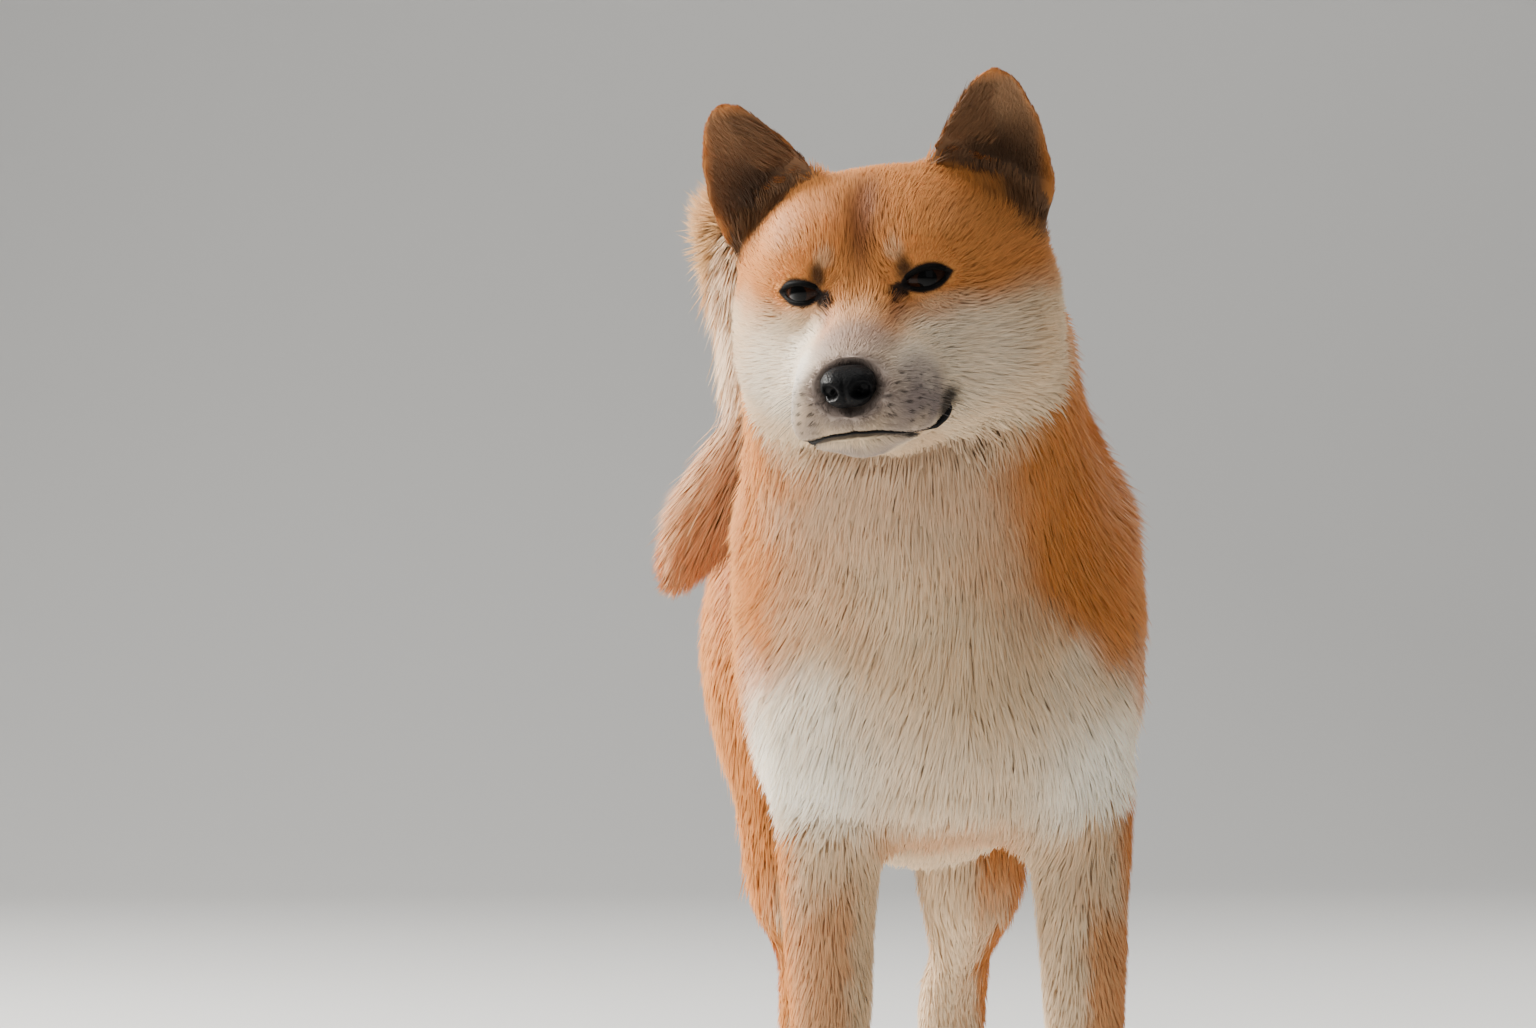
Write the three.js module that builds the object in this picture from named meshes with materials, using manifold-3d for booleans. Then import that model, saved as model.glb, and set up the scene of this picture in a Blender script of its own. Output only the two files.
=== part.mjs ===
// A standing shiba inu at life size, in millimetres: +Z up, the dog faces -Y and its own left side is +X.
// Each sub-part is a capsule whose rings are strung along a spine and pushed out to the edge of the flesh and coat,
// and the flesh is a blend of ovals and tapered limbs.
import * as THREE from "three";
import { mergeVertices } from "three/addons/utils/BufferGeometryUtils.js";
import Module from "manifold-3d";

const wasm = await Module();
wasm.setup();

// Driving dimensions of the dog
const withersHeight = 396;
const backHeight = 382;
const brisketHeight = 195;
const halfChest = 88;
const halfHip = 86;
const foreStance = { left: 63, right: -52 };
const hindStance = { left: 46, right: -23 };
const carpusHeight = 88;
const hockHeight = 112;
const pasternHeight = 34;
const eyeRadius = 12;
const eyeStandOut = 1.8;
const eyeOpening = { halfWidth: 9.8, halfHeight: 5.2 };
const lidThickness = 1.8;
const mouthHeight = -44;
const mouthCornerBack = -68;
const upperLipRadius = 2;
const lowerLipRadius = 1.6;
const lipStandOut = 0.9;
const breechesRows = 5;
const breechesLength = 44;
const gap = 0.3;

// How the head is carried: turned to the dog's right, nose down, right side low
const headPlace = new THREE.Vector3(-36, -235, 460);
const headTurn = new THREE.Euler(...[12, -6.5, -18].map(THREE.MathUtils.degToRad), "ZXY");

const at = (x, y, z) => new THREE.Vector3(x, y, z);
const bothSides = [1, -1];
const sideName = (side) => (side > 0 ? "left" : "right");
const up = at(0, 0, 1);
const ahead = at(0, -1, 0);

// Flesh: each form says how far a point lies outside it, and is negative inside

function oval(centre, [halfX, halfY, halfZ], tilt = [0, 0, 0]) {
  const turn = new THREE.Euler(...tilt.map(THREE.MathUtils.degToRad));
  const unturned = new THREE.Quaternion().setFromEuler(turn).invert();
  const p = new THREE.Vector3();
  return (point) => {
    p.copy(point).sub(centre).applyQuaternion(unturned);
    const near = Math.hypot(p.x / halfX, p.y / halfY, p.z / halfZ);
    const slope = Math.hypot(p.x / halfX ** 2, p.y / halfY ** 2, p.z / halfZ ** 2);
    return slope < 1e-9 ? -Math.min(halfX, halfY, halfZ) : (near * (near - 1)) / slope;
  };
}

function limb(from, to, startRadius, endRadius) {
  const line = new THREE.Line3(from, to);
  const foot = new THREE.Vector3();
  return (point) => {
    const share = line.closestPointToPointParameter(point, true);
    line.at(share, foot);
    return foot.distanceTo(point) - THREE.MathUtils.lerp(startRadius, endRadius, share);
  };
}

function blended(softness, ...forms) {
  return (point) => {
    let edge = Infinity;
    for (const form of forms) {
      const distance = form(point);
      const overlap = Math.max(softness - Math.abs(edge - distance), 0) / softness;
      edge = Math.min(edge, distance) - (overlap * overlap * softness) / 4;
    }
    return edge;
  };
}

const grown = (form, by = gap) => (point) => form(point) - by;

// The farthest point along a ray that is still in the flesh
function edgeAlong(form, start, direction, reach) {
  const point = new THREE.Vector3();
  const out = (distance) => form(point.copy(start).addScaledVector(direction, distance)) > 0;
  const stride = 2;
  let far = reach;
  while (far > 0 && out(far)) far -= stride;
  let near = Math.max(far, 0);
  far = Math.min(near + stride, reach);
  for (let halving = 0; halving < 14; halving++) {
    const middle = (near + far) / 2;
    if (out(middle)) far = middle;
    else near = middle;
  }
  return point.copy(start).addScaledVector(direction, near).clone();
}

// Solids

function closed(geometry) {
  const bare = new THREE.BufferGeometry();
  bare.setAttribute("position", geometry.getAttribute("position"));
  bare.setIndex(geometry.index);
  const welded = mergeVertices(bare, 1e-3);
  const corners = welded.index.array;
  const kept = [];
  for (let i = 0; i < corners.length; i += 3) {
    const [a, b, c] = [corners[i], corners[i + 1], corners[i + 2]];
    if (a !== b && b !== c && c !== a) kept.push(a, b, c);
  }
  welded.setIndex(kept);
  return welded;
}

function solid(geometry) {
  const welded = closed(geometry);
  return new wasm.Manifold(
    new wasm.Mesh({
      numProp: 3,
      vertProperties: new Float32Array(welded.getAttribute("position").array),
      triVerts: new Uint32Array(welded.index.array),
    }),
  );
}

// The largest closed surface of a cut solid, as a geometry whose points are welded
function geometryOf(cut) {
  let geometry;
  let rest = cut;
  for (let pass = 0; pass < 2; pass++) {
    const largest = rest.decompose().sort((a, b) => b.volume() - a.volume())[0];
    const mesh = largest.getMesh();
    geometry = new THREE.BufferGeometry();
    geometry.setAttribute("position", new THREE.BufferAttribute(mesh.vertProperties, mesh.numProp));
    geometry.setIndex(new THREE.BufferAttribute(mesh.triVerts, 1));
    geometry = closed(geometry);
    rest = solid(geometry);
  }
  return geometry;
}

// Coordinates of one point, rounded so that both ends of a seam agree exactly
const spot = (place, i) => [place.getX(i), place.getY(i), place.getZ(i)].map((v) => Math.round(v * 1e6) / 1e6 + 0);

// A capsule strung along a spine, its skin pushed out to the edge of the flesh
function skinAlong(points, flesh, { rings, sides, capRings = 4, reach = 130, top = up, pace = (t) => t }) {
  const spine = new THREE.CatmullRomCurve3(points);
  const capsule = new THREE.CapsuleGeometry(1, 1, capRings, sides, rings);
  const place = capsule.getAttribute("position");
  const way = new THREE.Vector3();
  for (let i = 0; i < place.count; i++) {
    const [x, y, z] = spot(place, i);
    const along = pace(THREE.MathUtils.clamp(y + 0.5, 0, 1));
    const start = spine.getPointAt(along);
    const tangent = spine.getTangentAt(along);
    const side = tangent.clone().cross(top).normalize();
    const crown = side.clone().cross(tangent);
    const past = y > 0.5 ? y - 0.5 : Math.min(y + 0.5, 0);
    way.set(0, 0, 0).addScaledVector(side, x).addScaledVector(tangent, past).addScaledVector(crown, z).normalize();
    place.setXYZ(i, ...edgeAlong(flesh, start, way, reach));
  }
  return capsule;
}

// A round bead along a line, closed at both ends
function bead(points, radius, { sides, steps }) {
  const section = new THREE.Shape().absarc(0, 0, radius, 0, 2 * Math.PI);
  const path = new THREE.CatmullRomCurve3(points);
  return new THREE.ExtrudeGeometry(section, {
    steps,
    curveSegments: sides / 2,
    bevelEnabled: false,
    extrudePath: path,
  });
}

// Seeded numbers between -1 and 1, for the coat's natural unevenness
function dice(seed) {
  let state = seed;
  return () => {
    state = (state * 1664525 + 1013904223) % 4294967296;
    return state / 2147483648 - 1;
  };
}

// One flat, tapered lock of hair: it leaves its root along its lie, swells, narrows to a tip and bends back down
function lock(root, lie, outward, { length, width, thickness, bend }) {
  const cone = new THREE.ConeGeometry(1, 1, 4, 3);
  const place = cone.getAttribute("position");
  const swell = [0.75, 1, 0.7, 0];
  const across = lie.clone().cross(outward).normalize();
  const proud = across.clone().cross(lie).normalize();
  for (let i = 0; i < place.count; i++) {
    const [x, y, z] = spot(place, i);
    const share = y + 0.5;
    const ring = Math.hypot(x, z) || 1;
    const half = swell[Math.round(share * 3)] / 2;
    const hair = root.clone().addScaledVector(lie, share * length);
    hair.addScaledVector(proud, (z / ring) * half * thickness - bend * share * share);
    hair.addScaledVector(across, (x / ring) * half * width);
    place.setXYZ(i, hair.x, hair.y, hair.z);
  }
  return solid(cone);
}

// Everything beyond a plane, as one large block
function beyond(point, normal, shift = 0) {
  const wide = 900;
  const box = new THREE.BoxGeometry(wide, wide, wide).translate(0, 0, wide / 2 + shift);
  const turn = new THREE.Quaternion().setFromUnitVectors(up, normal.clone().normalize());
  return solid(box.applyQuaternion(turn).translate(...point));
}

// Materials, with the colours of the coat and the bare skin

const finish = (color, roughness) => new THREE.MeshStandardMaterial({ color, roughness, metalness: 0 });
const redCoat = finish(0xc08650, 0.9);
const creamCoat = finish(0xcdbb9f, 0.9);
const earCoat = finish(0xa9703f, 0.9);
const noseLeather = finish(0x17181a, 0.45);
const eyeGloss = finish(0x1c120c, 0.1);

const dog = new THREE.Group();

function addNode(parent, name, geometry, material) {
  const mesh = new THREE.Mesh(geometry, material);
  mesh.name = name;
  parent.add(mesh);
}

// Trunk and neck

const trunkFlesh = blended(
  34,
  oval(at(0, -45, 298), [77, 162, 298 - brisketHeight]),
  oval(at(0, -162, 302), [60, 56, 74]),
  ...bothSides.map((side) => oval(at(50 * side, -128, 314), [halfChest - 50, 60, 80])),
  ...bothSides.map((side) => oval(at(54 * side, -132, 258), [26, 42, 46])),
  oval(at(0, -100, 350), [50, 80, withersHeight - 350]),
  oval(at(0, 78, 314), [64, 118, backHeight - 314]),
  oval(at(0, 134, 316), [68, 74, backHeight - 316]),
  limb(at(-2, -118, 332), at(-24, -197, 420), 82, 75),
);
const trunkSpine = [
  at(0, 156, 316),
  at(0, 60, 310),
  at(0, -34, 306),
  at(-2, -76, 312),
  at(-5, -113, 328),
  at(-10, -146, 355),
  at(-16, -174, 388),
  at(-26, -202, 432),
];
const trunkMesh = { rings: 22, sides: 32, capRings: 4, reach: 132 };
const trunkSolid = solid(skinAlong(trunkSpine, trunkFlesh, trunkMesh));
const trunkRoom = solid(skinAlong(trunkSpine, grown(trunkFlesh), trunkMesh));

// Head, in its own frame: the middle of the skull at the origin, the nose towards -Y

const headFlesh = blended(
  20,
  ...bothSides.map((side) => oval(at(18 * side, 6, 5), [42, 59, 46])),
  oval(at(0, -14, 20), [41, 33, 30]),
  ...bothSides.map((side) => oval(at(50 * side, 16, 8), [19, 24, 28])),
  ...bothSides.map((side) => oval(at(34 * side, -8, -22), [35, 47, 37])),
  ...bothSides.map((side) => oval(at(29 * side, -24, -28), [27, 36, 27])),
  ...bothSides.map((side) => oval(at(40 * side, 14, -28), [30, 40, 40])),
  limb(at(0, -42, -3), at(0, -106, -22), 22, 11),
  ...bothSides.map((side) => limb(at(11 * side, -50, -26), at(12.5 * side, -101, -28.5), 23, 14.5)),
  limb(at(0, -40, -42), at(0, -97, -41), 21, 12.5),
  ...bothSides.map((side) => oval(at(22 * side, -40, 22), [18, 11, 10])),
);
const headSpine = [at(0, 46, 0), at(0, 0, -4), at(0, -60, -20), at(0, -98, -28)];
const closerAtTheEyes = (t) => t + 2.2 * t * (1 - t) * (0.8 - t);
const headMesh = { rings: 20, sides: 28, capRings: 4, reach: 84, pace: closerAtTheEyes };
const headPose = new THREE.Matrix4().makeRotationFromEuler(headTurn).setPosition(headPlace);
const headSolid = solid(skinAlong(headSpine, headFlesh, headMesh));
const headRoomGeometry = skinAlong(headSpine, grown(headFlesh), headMesh);
const headRoom = solid(headRoomGeometry);
const headRoomInBody = solid(headRoomGeometry.clone().applyMatrix4(headPose));

const head = new THREE.Group();
head.position.copy(headPlace);
head.rotation.copy(headTurn);
dog.add(head);

// Eyes, each behind a pair of lids that leave an almond open

const eyeAxis = (side) => at(0.38 * side, -0.92, 0.04).normalize();
const eyeCentres = { left: eyeBehindSkin(1), right: eyeBehindSkin(-1) };
const eyeCentre = (side) => eyeCentres[sideName(side)];

// The ball's middle, set back so far that the ball stands a little out of the skin
function eyeBehindSkin(side) {
  const within = at(27.5 * side, -56, 11).addScaledVector(eyeAxis(side), -30);
  const skin = edgeAlong(headFlesh, within, eyeAxis(side), 60);
  return skin.addScaledVector(eyeAxis(side), eyeStandOut - eyeRadius);
}

function eyeBall(side, extra = 0) {
  const ball = new THREE.SphereGeometry(eyeRadius + extra, 12, 8);
  const turn = new THREE.Quaternion().setFromUnitVectors(up, eyeAxis(side));
  return ball.rotateX(Math.PI / 2).applyQuaternion(turn).translate(...eyeCentre(side));
}

function eyeAlmond(side) {
  const { halfWidth, halfHeight } = eyeOpening;
  const outline = new THREE.Shape().moveTo(-halfWidth, 0);
  outline.bezierCurveTo(-0.45 * halfWidth, 1.25 * halfHeight, 0.35 * halfWidth, 1.45 * halfHeight, halfWidth, 0.1);
  outline.bezierCurveTo(0.45 * halfWidth, -1.3 * halfHeight, -0.45 * halfWidth, -1.2 * halfHeight, -halfWidth, 0);
  const prism = new THREE.ExtrudeGeometry(outline, { depth: 30, bevelEnabled: false, curveSegments: 7 });
  const toSide = ahead.clone().cross(up).multiplyScalar(-1);
  const back = eyeAxis(side);
  const across = up.clone().cross(back).normalize();
  const upright = back.clone().cross(across);
  if (toSide.dot(across) * side < 0) prism.rotateY(Math.PI).translate(0, 0, 30);
  prism.applyMatrix4(new THREE.Matrix4().makeBasis(across, upright, back).setPosition(eyeCentre(side)));
  return prism;
}

let headBody = headSolid;
for (const side of bothSides) {
  addNode(head, "eye_" + sideName(side), closed(eyeBall(side)), eyeGloss);
  headBody = headBody
    .add(solid(eyeBall(side, lidThickness)))
    .subtract(solid(eyeBall(side, gap)))
    .subtract(solid(eyeAlmond(side)));
}

// Nose, with its two nostrils

const noseFlesh = (extra) => blended(
  6,
  oval(at(0, -115, -21), [13 + extra, 11 + extra, 11 + extra]),
  ...bothSides.map((side) => oval(at(7 * side, -115, -22), [7 + extra, 10 + extra, 9 + extra])),
);
const noseShape = (extra) => skinAlong(
  [at(0, -110, -21), at(0, -117, -21)],
  noseFlesh(extra),
  { rings: 2, sides: 18, capRings: 4, reach: 24 },
);
let noseSolid = solid(noseShape(0));
for (const side of bothSides) {
  const nostril = new THREE.SphereGeometry(3.4, 7, 5).scale(1, 1.2, 0.8).translate(6.6 * side, -127.5, -23);
  noseSolid = noseSolid.subtract(solid(nostril));
}
addNode(head, "nose", geometryOf(noseSolid), noseLeather);
headBody = headBody.subtract(solid(noseShape(gap)));

// Lower jaw, parted from the head along the line of the mouth, and a lip along each side of that line

function jawBlock(extra) {
  const corner = mouthCornerBack + extra;
  const outline = new THREE.Shape(
    [
      [-140, mouthHeight + extra],
      [corner - 12, mouthHeight + extra],
      [corner, mouthHeight + 2 + extra],
      [corner + 10, -58],
      [corner + 14, -90],
      [-140, -90],
    ].map(([back, height]) => new THREE.Vector2(back, height)),
  );
  const slab = new THREE.ExtrudeGeometry(outline, { depth: 120, bevelEnabled: false });
  return slab.applyMatrix4(new THREE.Matrix4().makeBasis(at(0, 1, 0), up, at(1, 0, 0)).setPosition(-60, 0, 0));
}
const jawSolid = headBody.intersect(solid(jawBlock(0)));
const skullSolid = headBody.subtract(solid(jawBlock(gap)));

function lip(height, radius) {
  const turns = [...Array(17).keys()].map((step) => THREE.MathUtils.degToRad(-100 + 12.5 * step));
  const line = turns.map((turn) => {
    const way = at(Math.sin(turn), -Math.cos(turn), 0);
    return edgeAlong(headFlesh, at(0, mouthCornerBack - 6, height), way, 60).addScaledVector(way, lipStandOut - radius);
  });
  return solid(bead(line, radius, { sides: 6, steps: 14 }));
}
const upperLip = lip(mouthHeight + gap + upperLipRadius, upperLipRadius).subtract(solid(jawBlock(gap)));
const lowerLip = lip(mouthHeight - lowerLipRadius, lowerLipRadius).intersect(solid(jawBlock(0)));
addNode(head, "lower_jaw", geometryOf(jawSolid.add(lowerLip)), creamCoat);
addNode(head, "head", geometryOf(skullSolid.add(upperLip)), redCoat);

// Ears: a cupped leaf between an inner and an outer edge, which meet in a round tip

const earInnerEdge = [at(20, 8, 40), at(25, 0, 57), at(34, -5, 71), at(45, -8, 84), at(54, -8, 90.5), at(63, -7, 91.5)];
const earOuterEdge = [at(58, 24, 2), at(74, 15, 18), at(79, 7, 40), at(77.5, 0, 61), at(72, -6, 82), at(63, -7, 91.5)];
const earCup = 16;
const earThickness = 5;
const earRootShare = 0.05;
const earTipShare = 0.14;

function earShape(side) {
  const capsule = new THREE.CapsuleGeometry(1, 1, 3, 14, 8);
  const place = capsule.getAttribute("position");
  const inner = new THREE.CatmullRomCurve3(earInnerEdge);
  const outer = new THREE.CatmullRomCurve3(earOuterEdge);
  const leafShare = 1 - earRootShare - earTipShare;
  for (let i = 0; i < place.count; i++) {
    const [x, y, z] = spot(place, i);
    const root = earRootShare * Math.min(y + 1.5, 1);
    const leafRise = leafShare * THREE.MathUtils.clamp(y + 0.5, 0, 1);
    const rise = root + leafRise + earTipShare * Math.max(y - 0.5, 0);
    const ring = Math.hypot(x, z);
    const [across, back] = ring > 1e-6 ? [x / ring, -z / ring] : [0, 0];
    const open = y < 0 ? ring : Math.sign(ring);
    const from = inner.getPointAt(rise);
    const to = outer.getPointAt(rise);
    const leaf = from.clone().lerp(to, 0.5 + 0.5 * across * open);
    const thick = 0.5 * earThickness * Math.min(1, from.distanceTo(to) / 12);
    leaf.y += earCup * (1 - rise) ** 0.7 * (1 - (across * open) ** 2) + back * open * thick;
    place.setXYZ(i, leaf.x, leaf.y, leaf.z);
  }
  return side > 0 ? capsule : mirrored(capsule);
}

// The same shape for the dog's other side, its faces still facing out
function mirrored(geometry) {
  const other = geometry.clone().scale(-1, 1, 1);
  const corners = other.index.array;
  for (let i = 0; i < corners.length; i += 3) {
    [corners[i + 1], corners[i + 2]] = [corners[i + 2], corners[i + 1]];
  }
  return other;
}

for (const side of bothSides) {
  const ear = solid(earShape(side)).subtract(headRoom);
  addNode(head, "ear_" + sideName(side), geometryOf(ear), earCoat);
}

// Torso and neck, parted across the base of the neck

const neckBase = at(0, -152, 362);
const neckWay = at(-0.08, -0.64, 0.77);
const trunkBelow = trunkSolid.subtract(beyond(neckBase, neckWay, -gap)).subtract(headRoomInBody);
const trunkAbove = trunkSolid.intersect(beyond(neckBase, neckWay)).subtract(headRoomInBody);
addNode(dog, "torso", geometryOf(trunkBelow), redCoat);
addNode(dog, "neck", geometryOf(trunkAbove), creamCoat);

// Legs, each parted from its paw across the pastern

function foreleg(side) {
  const x = foreStance[sideName(side)];
  const flesh = blended(
    12,
    oval(at(x - 3 * side, -126, 242), [27, 40, 46]),
    limb(at(x, -130, 215), at(x, -146, 100), 24, 17),
    oval(at(x, -149, carpusHeight), [18, 18, 18]),
    limb(at(x, -150, carpusHeight - 8), at(x, -160, 36), 15.5, 16),
    limb(at(x, -160, 24), at(x, -176, 14), 18, 16),
  );
  const spine = [at(x - 4 * side, -124, 260), at(x, -130, 200), at(x, -146, 100), at(x, -152, 60), at(x, -170, 16)];
  return { flesh, spine, toes: at(x, -178, 0), size: 1 };
}

function hindleg(side) {
  const x = hindStance[sideName(side)];
  const stifle = at(side > 0 ? 52 : -46, 100, 228);
  const hock = at(x, 188, hockHeight);
  const gaskin = at(THREE.MathUtils.lerp(stifle.x, x, 0.45), 134, 182);
  const flesh = blended(
    16,
    oval(at(44 * side, 132, 294), [halfHip - 44, 70, 80]),
    limb(stifle.clone().add(at(-7 * side, 18, 16)), gaskin, 33, 25),
    limb(gaskin, hock, 25, 12),
    oval(hock.clone().add(at(0, 6, 4)), [14, 15, 18]),
    limb(hock, at(x, 178, 36), 14.5, 14.5),
    limb(at(x, 176, 22), at(x, 162, 13), 16, 15),
  );
  const spine = [at(40 * side, 135, 312), gaskin.clone().add(at(0, 4, 10)), hock, at(x, 181, 60), at(x, 168, 15)];
  return { flesh, spine, toes: at(x, 160, 0), size: 0.93, hock };
}

function toeAndClaw(toes, size, place) {
  const spread = [-16, -6, 6, 16][place] * size;
  const lead = [4, -5, -5, 4][place] * size;
  const knuckle = toes.clone().add(at(spread * 0.75, lead + 4, 17 * size));
  const tip = toes.clone().add(at(spread, lead - 13 * size, 8 * size));
  const flesh = limb(knuckle, tip, 8 * size, 8.2 * size);
  const toe = solid(skinAlong([knuckle, tip], flesh, { rings: 1, sides: 7, capRings: 2, reach: 14 }));
  const claw = new THREE.ConeGeometry(2.2 * size, 12 * size, 5, 1);
  claw.translate(0, 4 * size, 0);
  claw.applyQuaternion(new THREE.Quaternion().setFromUnitVectors(at(0, 1, 0), at(0, -0.87, -0.5)));
  claw.translate(tip.x, tip.y - 5 * size, tip.z + 1.5);
  return toe.add(solid(claw));
}

// The longer hair on the back of each thigh
function withBreeches(thigh, leg, side) {
  const roll = dice(side > 0 ? 11 : 23);
  let haired = thigh;
  for (let row = 0; row < breechesRows; row++) {
    const height = THREE.MathUtils.lerp(318, 206, row / (breechesRows - 1));
    for (const inset of [-12, 12]) {
      const behindThigh = at(46 * side + inset + 3 * roll(), 120, height + 5 * roll());
      const root = edgeAlong(leg.flesh, behindThigh, at(0, 1, 0), 110);
      const lie = at(0.1 * roll(), 0.22, -0.97).normalize();
      const hair = { length: breechesLength + 4 * roll(), width: 19, thickness: 8, bend: 2 };
      haired = haired.add(lock(root.add(at(0, -5, 9)), lie, at(0, 1, 0), hair));
    }
  }
  return haired.subtract(trunkRoom);
}

const hockWay = at(0, 0.26, -0.965);
const legMesh = { rings: 14, sides: 12, capRings: 3, reach: 95, top: ahead };
const pastern = at(0, 0, pasternHeight);
const down = at(0, 0, -1);
for (const side of bothSides) {
  for (const [name, leg] of [["fore", foreleg(side)], ["hind", hindleg(side)]]) {
    const whole = solid(skinAlong(leg.spine, leg.flesh, legMesh)).subtract(trunkRoom);
    let paw = whole.intersect(beyond(pastern, down, gap));
    for (const place of [0, 1, 2, 3]) paw = paw.add(toeAndClaw(leg.toes, leg.size, place));
    paw = paw.intersect(beyond(at(0, 0, 0), up));
    let upper = whole.subtract(beyond(pastern, down));
    if (leg.hock) {
      const shank = upper.intersect(beyond(leg.hock, hockWay));
      addNode(dog, "hindshank_" + sideName(side), geometryOf(shank), redCoat);
      upper = withBreeches(upper.subtract(beyond(leg.hock, hockWay, -gap)), leg, side);
    }
    addNode(dog, name + "leg_" + sideName(side), geometryOf(upper), redCoat);
    addNode(dog, name + "paw_" + sideName(side), geometryOf(paw), creamCoat);
  }
}

// Tail: raised from the croup, curled forward over the back, its plume hanging on the dog's right

const tailRows = 9;
const tailLocksAround = 4;
const tailCoreShare = 0.5;
const tailLine = [
  [-2, 168, 352, 19],
  [-5, 190, 372, 21],
  [-14, 212, 408, 25],
  [-32, 214, 458, 29],
  [-50, 184, 491, 30],
  [-57, 142, 484, 29],
  [-57, 114, 446, 25],
  [-60, 100, 410, 20],
  [-76, 93, 374, 23],
  [-91, 88, 348, 16],
  [-103, 83, 326, 5],
];
const tailPoints = tailLine.map(([x, y, z]) => at(x, y, z));
const tailCore = blended(8, ...tailLine.slice(1).map(([, , , radius], i) => (
  limb(tailPoints[i], tailPoints[i + 1], tailLine[i][3] * tailCoreShare, radius * tailCoreShare)
)));
const tailCurve = new THREE.CatmullRomCurve3(tailPoints);
const tailMesh = { rings: 18, sides: 8, capRings: 2, reach: 34, top: at(1, 0, 0) };
let tailSolid = solid(skinAlong(tailPoints, tailCore, tailMesh));
const tailRoll = dice(7);
for (let row = 0; row < tailRows; row++) {
  const along = 0.04 + (0.9 * row) / (tailRows - 1);
  const share = tailCurve.getUtoTmapping(along) * (tailLine.length - 1);
  const before = Math.floor(share);
  const radius = THREE.MathUtils.lerp(tailLine[before][3], tailLine[before + 1][3], share - before);
  const centre = tailCurve.getPointAt(along);
  const tangent = tailCurve.getTangentAt(along);
  const side = tangent.clone().cross(at(1, 0, 0)).normalize();
  const crown = side.clone().cross(tangent);
  for (let place = 0; place < tailLocksAround; place++) {
    const turn = (2 * Math.PI * (place + 0.5 * (row % 2) + 0.12 * tailRoll())) / tailLocksAround;
    const outward = side.clone().multiplyScalar(Math.cos(turn)).addScaledVector(crown, Math.sin(turn));
    const rise = 0.4 + 0.04 * tailRoll();
    const lie = tangent.clone().multiplyScalar(Math.cos(rise)).addScaledVector(outward, Math.sin(rise));
    const length = (radius * (1.06 - tailCoreShare * 0.7)) / Math.sin(rise) + 4;
    const hair = { length, width: radius * 1.3, thickness: radius * 0.36 + 2, bend: 3 };
    tailSolid = tailSolid.add(lock(centre.clone().addScaledVector(outward, radius * tailCoreShare * 0.7), lie, outward, hair));
  }
}
const tailRise = at(-22, 214, 430);
const tailRiseWay = at(-0.35, 0.05, 0.93);
const tailFall = at(-57, 112, 440);
const tailFallWay = at(0, -0.5, -0.86);
const behind = at(0, 1, 0);
const midTail = at(0, 165, 0);
const tailBase = tailSolid
  .subtract(beyond(tailRise, tailRiseWay, -gap))
  .subtract(beyond(midTail, ahead))
  .subtract(trunkRoom);
const tailTip = tailSolid.intersect(beyond(tailFall, tailFallWay)).subtract(beyond(midTail, behind));
const tailArch = tailSolid.intersect(beyond(tailRise, tailRiseWay)).subtract(beyond(tailFall, tailFallWay, -gap));
addNode(dog, "tail_base", geometryOf(tailBase), redCoat);
addNode(dog, "tail_arch", geometryOf(tailArch), redCoat);
addNode(dog, "tail_tip", geometryOf(tailTip), redCoat);

// The origin goes to the floor, below the middle of the whole dog
dog.updateMatrixWorld(true);
const bounds = new THREE.Box3().setFromObject(dog, true);
const middle = bounds.getCenter(new THREE.Vector3());
dog.position.set(-middle.x, -middle.y, -bounds.min.z);

export default dog;
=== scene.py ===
"""A still, life-size shiba inu: a skin under a coat of fine tufts, its eyes, nose and claws, in a studio."""

import math

import bmesh
import bpy
import numpy as np
from mathutils import Matrix, Vector
from mathutils.bvhtree import BVHTree
from mathutils.kdtree import KDTree


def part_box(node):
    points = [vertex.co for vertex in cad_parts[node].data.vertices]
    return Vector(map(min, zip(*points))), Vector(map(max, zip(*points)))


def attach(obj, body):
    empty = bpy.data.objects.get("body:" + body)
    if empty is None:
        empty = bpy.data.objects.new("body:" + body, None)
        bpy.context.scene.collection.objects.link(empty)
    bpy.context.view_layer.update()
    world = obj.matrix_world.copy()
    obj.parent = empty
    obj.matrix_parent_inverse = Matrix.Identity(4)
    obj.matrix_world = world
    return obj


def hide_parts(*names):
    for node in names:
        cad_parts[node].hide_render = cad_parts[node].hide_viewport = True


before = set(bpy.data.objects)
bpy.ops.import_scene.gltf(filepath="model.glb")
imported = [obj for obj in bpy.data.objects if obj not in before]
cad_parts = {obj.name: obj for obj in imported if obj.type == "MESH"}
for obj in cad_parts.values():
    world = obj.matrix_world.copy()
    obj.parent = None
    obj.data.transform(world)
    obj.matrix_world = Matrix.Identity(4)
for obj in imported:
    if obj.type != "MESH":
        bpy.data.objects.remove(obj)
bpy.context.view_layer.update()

bl_info = {
    "name": "Shiba inu model",
    "version": (1, 0, 0),
    "blender": (4, 5, 0),
    "location": "View3D > Sidebar > Shiba",
    "description": "Dresses the still shiba inu in its skin and coat and sets up its studio",
    "category": "Object",
}

SEED = 20251

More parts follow.
